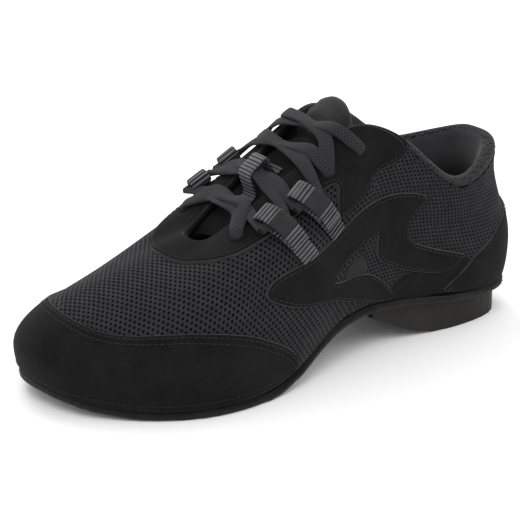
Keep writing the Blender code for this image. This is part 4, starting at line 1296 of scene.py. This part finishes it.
def laces():
    """All crossing runs, and the short runs inside the loops."""
    lateral = lace_stops(-1.0)
    medial = lace_stops(1.0)
    pairs = [(lateral[0], medial[0])]
    for i in range(len(lateral) - 1):
        pairs.append((lateral[i], medial[i + 1]))
        pairs.append((lateral[i + 1], medial[i]))
    runs = []
    for number, pair in enumerate(pairs):
        points, lifts, sizes = lace_run(*pair)
        middle = len(points) // 2
        points[middle] = points[middle] + UP * (CROSSING_LIFTS[number % 2] if number else 0.0)
        centres, at, run = smooth_path(points, LACE_STEP)
        lift = unit(read_at(at, run, np.array(lifts)))
        size = np.interp(at, run, sizes)
        waves = [share * np.sin(at / length + (k + 1) * number) for k, (share, length) in enumerate(STIR)]
        stir = 1 + waves[0] + waves[1]
        thick = np.interp(size, WIDTH_RANGE, THICK_RANGE)
        runs.append((centres + SHIFT, lift, np.stack([size * stir, thick], 1)))
    for stop in (*lateral, *medial):
        if stop.forward.any():
            ends = [stop.middle + sign * stop.forward * LOOP_REACH for sign in (1, -1)]
            centres, at, run = smooth_path([ends[0], stop.middle, ends[1]], LACE_STEP)
            lift = np.tile(stop.lift, (len(centres), 1))
            size = LACE_GATHER + LOOP_SWELL * (1 - np.abs(at / run[-1] * 2 - 1))
            runs.append((centres + SHIFT, lift, np.stack([size, LOOP_THICK + 0 * size], 1)))
    flat_cord("lace_weave", runs, ("lace",), LACE)


def keeper():
    """Webbing bridge on the tongue with the laces under it."""
    front, back = [tongue_crown(row) for row in KEEPER_ROWS]
    way = unit(back - front)
    lift = unit(np.cross(np.cross(way, UP), way))
    sewn = lift * (STRAP_THICKNESS / 2 + JOINT_GAP * 2)
    _, front_loop, back_loop, *_ = lace_stops(-1.0)
    middle = crossing((front_loop.row + back_loop.row) / 2)
    over = middle + lift * (LACE_THICKNESS / 2 + LOOP_CLEARANCE + STRAP_THICKNESS / 2 + KEEPER_ROOM)
    path = [front - way * KEEPER_SEAM + sewn, front + sewn, over - way * KEEPER_FLAT, over]
    path += [over + way * KEEPER_FLAT, back + sewn, back + way * KEEPER_SEAM + sewn]
    centres, at, _ = smooth_path(path, RIB_PITCH / 7)
    across = np.tile(unit(np.cross(way, lift)), (len(centres), 1))
    lifts = unit(np.cross(across, unit(np.gradient(centres, axis=0))))
    thick, kind = ribs(at, np.ones(len(at), bool))
    surfaces = (LIT_RIB, SHADED_GROOVE)
    thick = STRAP_THICKNESS * thick
    ribbon("keeper_webbing", centres, across, lifts, KEEPER_WIDTH, thick, kind, surfaces, ("tongue_keeper",))


TONGUE_STATIONS = 61
TONGUE_ACROSS = 57
# soft end beyond the tongue's last row: how far on, and how wide
TONGUE_TIP = ((0.0022, 1.02), (0.0046, 1.03), (0.0070, 1.03), (0.0094, 1.01), (0.0110, 0.97), (0.0118, 0.90))
PAD_DEPTH = 0.0012
# sewn lines on the tongue: place as a share, half width as a share, and depth
CHANNEL = (0.42, 0.05, 0.0009)
CROSS_SEAM = (0.80, 0.012, 0.0006)
REAR_RISE = 0.0014
# behind this row the tongue's face is plain padded cloth; before it, under the laces, it is darker cloth with
# painted shade
PADDED_ROW = 5.95
# where the padding begins along the tongue and over what share it grows
PAD_FROM, PAD_OVER = 0.35, 0.4
CROSS_SEAM_HALF = 0.40
FOLLOW = 0.9
# where the face begins to rise at the back, in rows
REAR_FROM_ROW, REAR_OVER = 6.05, 0.25
# how far both faces draw together on the border and one step inside it
BORDER_SQUEEZE, INNER_SQUEEZE = 0.42, 0.16


def tongue_layer(depth):
    """Grid of points over one face of the tongue, with its root and its soft end."""
    grid = []
    for row in np.linspace(TONGUE_FRONT, TONGUE_BACK, TONGUE_STATIONS):
        arc = tongue_arc(row, depth)
        run = run_along(arc)
        grid.append(read_at(np.linspace(0, run[-1], TONGUE_ACROSS), run, arc))
    grid = np.array(grid)
    for _ in range(3):
        grid[:, 1:-1] = (grid[:, :-2] + 2 * grid[:, 1:-1] + grid[:, 2:]) / 4
    middle = grid[-1].mean(0)
    back = unit(unit(middle - grid[-8].mean(0)) + UP * 0.10)
    root = [grid[0] + TONGUE_ROOT * share for share in (1.0, 0.5)]
    tip = [middle + (grid[-1] - middle) * (1.0, wide, 1.0) + back * on for on, wide in TONGUE_TIP]
    return np.concatenate([root, grid, tip])


def tongue():
    """Padded tongue: quilted crown, bound edge and thickness."""
    outer, inner = tongue_layer(0.0), tongue_layer(TONGUE_THICKNESS)
    count, wide = outer.shape[:2]
    across = np.linspace(-1, 1, wide)[None, :, None]
    along = np.linspace(0, 1, count)[:, None, None]
    pad = PAD_DEPTH * (1 - np.abs(across) ** 4) * np.clip((along - PAD_FROM) / PAD_OVER, 0, 1)
    channels = CHANNEL[2] * np.exp(-(((np.abs(across) - CHANNEL[0]) / CHANNEL[1]) ** 2))
    cross = CROSS_SEAM[2] * np.exp(-(((along - CROSS_SEAM[0]) / CROSS_SEAM[1]) ** 2))
    cross = cross * (np.abs(across) < CROSS_SEAM_HALF)
    outer = outer + unit(outer - inner) * (pad - channels - cross) * FOLLOW
    rows = np.linspace(TONGUE_FRONT, TONGUE_BACK, TONGUE_STATIONS)
    rear = REAR_RISE * np.clip((rows - REAR_FROM_ROW) / REAR_OVER, 0, 1) ** 2
    sunk = np.array([press(row) for row in rows]) - rear
    sunk = np.concatenate([[0, 0], sunk, sunk[-1] * np.ones(len(TONGUE_TIP))])
    dent = sunk[:, None, None] * np.cos(across * math.pi / 2) ** 0.7 * UP
    outer = outer - dent
    inner = inner - dent * FOLLOW
    squeeze = np.zeros((count, wide))
    for grid in (squeeze, squeeze.T):
        grid[1, :] = np.maximum(grid[1, :], INNER_SQUEEZE)
        grid[-2, :] = np.maximum(grid[-2, :], INNER_SQUEEZE)
    for grid in (squeeze, squeeze.T):
        grid[0, :] = grid[-1, :] = BORDER_SQUEEZE
    shrink = squeeze[..., None] * (outer - inner)
    far = count * wide
    top = grid_faces(count, wide)
    faces = [*top, *(top[:, ::-1] + far)]
    border = []
    last = far - wide
    for j in range(wide - 1):
        border += [(j, j + 1), (last + j + 1, last + j)]
    for i in range(0, last, wide):
        border += [(i + wide, i), (i + wide - 1, i + 2 * wide - 1)]
    faces += [(b, a, a + far, b + far) for a, b in border]
    points = np.concatenate([(outer - shrink).reshape(-1, 3), (inner + shrink).reshape(-1, 3)]) + SHIFT
    surfaces = (TONGUE_CLOTH, SHADED_TONGUE_FRONT)
    made = finish_piece("tongue_padded", points, faces, surfaces, None, ("tongue",))
    padded_from = tongue_crown(PADDED_ROW)[0] + SHIFT[0]
    # faces before the padded row take the darker front, which paints the shade under the laces
    for face in made.data.polygons:
        face.material_index = int(face.center.x < padded_from)
    rework(made)


def plan_point(row, inward):
    """Feather outline point moved inward."""
    here = SURFACE[0](row)
    along = SURFACE[0](np.asarray(row) + 0.02) - SURFACE[0](np.asarray(row) - 0.02)
    outward = unit(np.stack([along[..., 1], -along[..., 0], np.zeros_like(along[..., 0])], -1))
    return here - outward * inward


# section of a sole layer: share of the way out from its middle line, and share of its thickness
SOLE_TOP = ((0.0, 1), (0.25, 1), (0.5, 1), (0.72, 1), (0.88, 1), (0.965, 0.97), (1.0, 0.82), (1.0, 0.5))
SOLE_SECTION = (*SOLE_TOP, (1.0, 0.18), (0.965, 0.03), (0.88, 0), (0.72, 0), (0.5, 0), (0.25, 0), (0.0, 0))
SOLE_SPINE = (-0.42, 0.44)
EDGE_ROUGH = 0.00022
# how much of the roughness shows at mid height of the edge and above and below it
MIDDLE_PULL, RIM_PULL = 0.6, 0.25


def slab(name, count, inward, low, thickness, surface, node, rough=0.0):
    """Sole layer with a rounded edge: rings inside one another over and under."""
    lateral = np.linspace(0.0, HEEL_END, count)
    loop = np.concatenate([lateral, ROUND - lateral[-2:0:-1]])
    jag = np.random.default_rng(7).normal(0, 1, len(loop))
    jag = (jag + np.roll(jag, 1) * 0.6) * rough
    edge = plan_point(loop, inward)[:, :2]
    spine = np.clip(edge[:, 0], LENGTH * SOLE_SPINE[0], LENGTH * SOLE_SPINE[1])
    out = unit(edge - np.stack([spine, np.full(len(loop), edge[:, 1].mean())], 1))
    centre_y = np.interp(edge[:, 0], *spine_of(inward))
    points = []
    for share, height in SOLE_SECTION:
        x = edge[:, 0]
        y = centre_y + (edge[:, 1] - centre_y) * share
        if share == 1.0:
            pull = MIDDLE_PULL if height == 0.5 else RIM_PULL
            x = x + out[:, 0] * jag * pull
            y = y + out[:, 1] * jag * pull
        points.append(np.stack([x, y, low(x) + thickness * height], 1))
    points = np.array(points)
    faces = ring_faces(len(points), len(loop), closed=False)
    made = finish_piece(name, points.reshape(-1, 3) + SHIFT, faces, (surface,), None, (node,))
    rework(made, merge=0.00004, thin=0.00001)


def spine_of(inward):
    """Middle line of the sole, as x and y."""
    rows = np.linspace(0, HEEL_END, 120)
    a = plan_point(rows, inward)
    b = plan_point(ROUND - rows, inward)
    return (a[:, 0] + b[:, 0]) / 2, (a[:, 1] + b[:, 1]) / 2


def soles():
    """Outsole with a rough edge, and the footbed."""
    edge, thick, pad = -OUTSOLE_EDGE, OUTSOLE_THICKNESS, VAMP_WALL + INSOLE_GAP
    slab("outsole_suede", 260, edge, sole_lift, thick, SOLE_SUEDE, "outsole", EDGE_ROUGH)
    slab("insole_pad", 160, pad, seat, INSOLE_THICKNESS, INSOLE_CLOTH, "insole")


# rim of a punched hole: radius and height of its rings; the last two steps are the inside, in near-black
# backing cloth that also paints the shade in the hole
RIM_RADII = (0.0041, 0.0037, 0.0032, 0.0028, 0.0026, 0.0)
RIM_HEIGHTS = (0.0, 0.0003, 0.0004, 0.0001, -0.0012, -0.0014)
RIM_SIDES = 28
RIM_LIFT = 0.00015


def eyelets():
    """Punched holes in the eyestay, with a pressed rim."""
    points, faces, indices = [], [], []
    for row, rise in HOLES:
        for place in (row, ROUND - row):
            centre = skin(place, rise, TOP + RIM_LIFT)
            lift = skin_normal(place, rise)
            along = unit(upper_skin(place + 0.05, rise) - upper_skin(place - 0.05, rise))
            side = unit(np.cross(lift, along))
            faces += [*(ring_faces(len(RIM_RADII), RIM_SIDES, closed=False) + len(points))]
            indices += [0] * (3 * RIM_SIDES) + [1] * (2 * RIM_SIDES)
            for radius, height in zip(RIM_RADII, RIM_HEIGHTS):
                for a in np.arange(RIM_SIDES) * 2 * math.pi / RIM_SIDES:
                    way = along * math.cos(a) + side * math.sin(a)
                    points.append(centre + way * radius + lift * height)
    # the inside of each hole takes the near-black backing, which also paints the shade in the hole
    finish_piece("eyelet_holes", points, faces, (BLACK_SUEDE, MESH_BACKING), indices)


ARCH_PANEL = (
    (8.05, 0.004), (8.30, 0.10), (8.80, 0.13), (9.40, 0.12),
    (9.80, 0.17), (9.98, 0.15), (9.70, 0.09), (9.30, 0.004),
)
WINDOW_PATCH = ((6.98, 0.22), (7.20, 0.285), (7.52, 0.275), (7.62, 0.20), (7.50, 0.15), (7.15, 0.17))
PANEL_TOP = 0.0008


def all_side_panels():
    return [ARCH_PANEL, mirrored(ARCH_PANEL, ROUND), WINDOW_PATCH, mirrored(WINDOW_PATCH, ROUND)]


def side_panels():
    """Plain cloth panels low on both sides."""
    words = ("arch_lateral", "arch_medial", "window_lateral", "window_medial")
    for word, outline in zip(words, all_side_panels()):
        cloth = BLACK_SUEDE if "arch" in word else PANEL_CLOTH
        panel("panel_" + word, outline, PANEL_TOP, 0.0016, (cloth, cloth), rounds=2)


# loose wisps at the toe seam: row, rise, length and turn
WISPS = ((0.02, 0.485, 0.0042, 0.4), (-0.10, 0.50, 0.0036, -0.5), (0.10, 0.475, 0.0030, 1.1))
FIBRE_ROWS = 0.016
FIBRE_WIDTH = 0.00012
FIBRE_REACH = (0.0003, 0.0011)
FIBRE_HEIGHTS = (0.12, 0.85)
FIBRE_SWAY = 0.0006
FIBRE_DROOP = 0.0003
WISP_WIDTH = 0.00022
WISP_LEAN = np.array([1.0, 0, 0.3])


def frays():
    """Loose fibres along the sole's cut edge and a few wisps at the toe seam."""
    rng = np.random.default_rng(11)
    points, faces, indices = [], [], []

    def strand(base, tip, bend, width, kind):
        """Thin bent fibre of three sides."""
        way = unit(tip - base)
        side = unit(np.cross(way, UP + 0.01))
        up = np.cross(side, way)
        made = tube_faces(3, 3, len(points))
        faces.extend(made)
        indices.extend([kind] * len(made))
        for here, size in ((base, 1.0), ((base + tip) / 2 + bend, 0.8), (tip, 0.35)):
            for a in (0.0, 2.1, 4.2):
                points.append(here + (side * math.cos(a) + up * math.sin(a)) * width * size / 2)

    for row in np.arange(0, ROUND, FIBRE_ROWS):
        row = row + rng.uniform(-0.01, 0.01)
        edge = plan_point(row, -OUTSOLE_EDGE)
        out = unit((edge - plan_point(row, 0.004)) * (1, 1, 0))
        height = sole_lift(edge[0]) + OUTSOLE_THICKNESS * rng.uniform(*FIBRE_HEIGHTS)
        base = np.array([edge[0], edge[1], height]) + SHIFT - out * 0.0003
        along = np.cross(out, UP) * rng.normal(0, FIBRE_SWAY)
        reach = rng.uniform(*FIBRE_REACH)
        tip = base + out * reach + along + UP * rng.normal(0, FIBRE_DROOP)
        tip[2] = max(tip[2], 0.0002)
        strand(base, tip, along * 0.4, FIBRE_WIDTH, 0)
    for row, rise, length, turn in WISPS:
        base = skin(row, rise, TOP * 0.6)
        lift = skin_normal(row, rise)
        around = unit(upper_skin(row + 0.1, rise) - upper_skin(row - 0.1, rise))
        tip = base + lift * length * 0.45 + around * length * math.sin(turn) + WISP_LEAN * length * 0.7
        strand(base, tip, lift * 0.0008, WISP_WIDTH, 1)
    finish_piece("edge_fibres", points, faces, (SOLE_SUEDE, FRAY), indices)


FLOOR_SIZE = 6.0
FLOOR_CORNERS = ((-1, -1), (1, -1), (1, 1), (-1, 1))
SKY_STRENGTH = 1.08
LAMP_TARGET = Vector((0.0, 0.0, 0.04))
# lamps: name, place, power and size
LAMPS = (
    ("key", (-0.75, -0.80, 1.35), 9.0, 0.9),
    ("fill", (0.95, -0.85, 0.80), 2.5, 0.8),
    ("back", (0.10, 1.10, 1.10), 9.0, 0.9),
)


def place_object(name, data):
    made = bpy.data.objects.new(name, data)
    bpy.context.scene.collection.objects.link(made)
    return made


def stage():
    """Pale floor, even sky and soft lamps."""
    floor = bpy.data.meshes.new("floor")
    floor.from_pydata([(x * FLOOR_SIZE, y * FLOOR_SIZE, 0) for x, y in FLOOR_CORNERS], [], [(0, 1, 2, 3)])
    paper, tree, shader = new_material("paper")
    noise = add(tree, "TexNoise", {"Scale": 3.0}).outputs["Fac"]
    ramp = colour_ramp(tree, noise, (0.0, 1.0), ((0.90, 0.90, 0.90), (0.93, 0.93, 0.93)))
    wire(shader, {"Roughness": 0.9, "Base Color": ramp.outputs["Color"]})
    floor.materials.append(paper)
    place_object("floor", floor)
    world = bpy.data.worlds.new("studio")
    world.use_nodes = True
    wire(world.node_tree.nodes["Background"], {"Color": (1.0, 1.0, 1.0, 1.0), "Strength": SKY_STRENGTH})
    bpy.context.scene.world = world
    for name, place, power, size in LAMPS:
        data = bpy.data.lights.new(name, "AREA")
        data.energy = power
        data.size = size
        lamp = place_object(name, data)
        lamp.location = place
        lamp.rotation_euler = (LAMP_TARGET - Vector(place)).to_track_quat("-Z", "Y").to_euler()


VIEW_AZIMUTH = math.radians(-32.0)
VIEW_ELEVATION = math.radians(20.5)
VIEW_DISTANCE = 0.800
VIEW_SCALE = 2210.0
VIEW_MIDDLE = (279.0, 273.5)
VIEW_HEIGHT = 0.035
PHOTO_SIZE = 520


def camera():
    """Camera at the photograph's angle."""
    level = math.cos(VIEW_ELEVATION)
    back = Vector((math.sin(VIEW_AZIMUTH) * level, -math.cos(VIEW_AZIMUTH) * level, math.sin(VIEW_ELEVATION)))
    data = bpy.data.cameras.new("camera")
    data.sensor_fit = "HORIZONTAL"
    data.angle = 2 * math.atan(PHOTO_SIZE / 2 / (VIEW_SCALE * VIEW_DISTANCE))
    data.shift_x = (PHOTO_SIZE / 2 - VIEW_MIDDLE[0]) / PHOTO_SIZE
    data.shift_y = (VIEW_MIDDLE[1] - PHOTO_SIZE / 2) / PHOTO_SIZE
    data.clip_start = 0.01
    eye = place_object("camera", data)
    eye.location = Vector((*SHIFT[:2], VIEW_HEIGHT)) + back * VIEW_DISTANCE
    eye.rotation_euler = (-back).to_track_quat("-Z", "Y").to_euler()
    bpy.context.scene.camera = eye


shell()
edges = overlays()
seams(edges)
covers = [inset(edge, SUEDE_COVER) for edge in edges.values()]
covers += [inset(evened(softened(outline), 0.002), PANEL_COVER) for outline in all_side_panels()]
for side, word in ((-1.0, "lateral"), (1.0, "medial")):
    rows = sorted((on_side(0.0, side), on_side(FRONT_ROWS, side)))
    air_mesh("air_mesh_" + word, FrontMap(side), FRONT_PITCH, covers, FRONT_RISES, rows, side > 0)
rows = (FRONT_ROWS, ROUND - FRONT_ROWS)
air_mesh("air_mesh_heel", RearMap(REAR_FROM, ROUND - REAR_FROM), HEEL_PITCH, covers, HEEL_RISES, rows)
for side, word in ((-1.0, "lateral"), (1.0, "medial")):
    for label, line in strap_lines(side):
        strap("webbing_" + word + "_" + label, line, "strap_" + word + "_" + label)
laces()
keeper()
tongue()
soles()
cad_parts["heel"].data.materials.clear()
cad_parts["heel"].data.materials.append(RUBBER)
eyelets()
side_panels()
frays()
stage()
camera()
bpy.context.scene.view_settings.view_transform = "Standard"
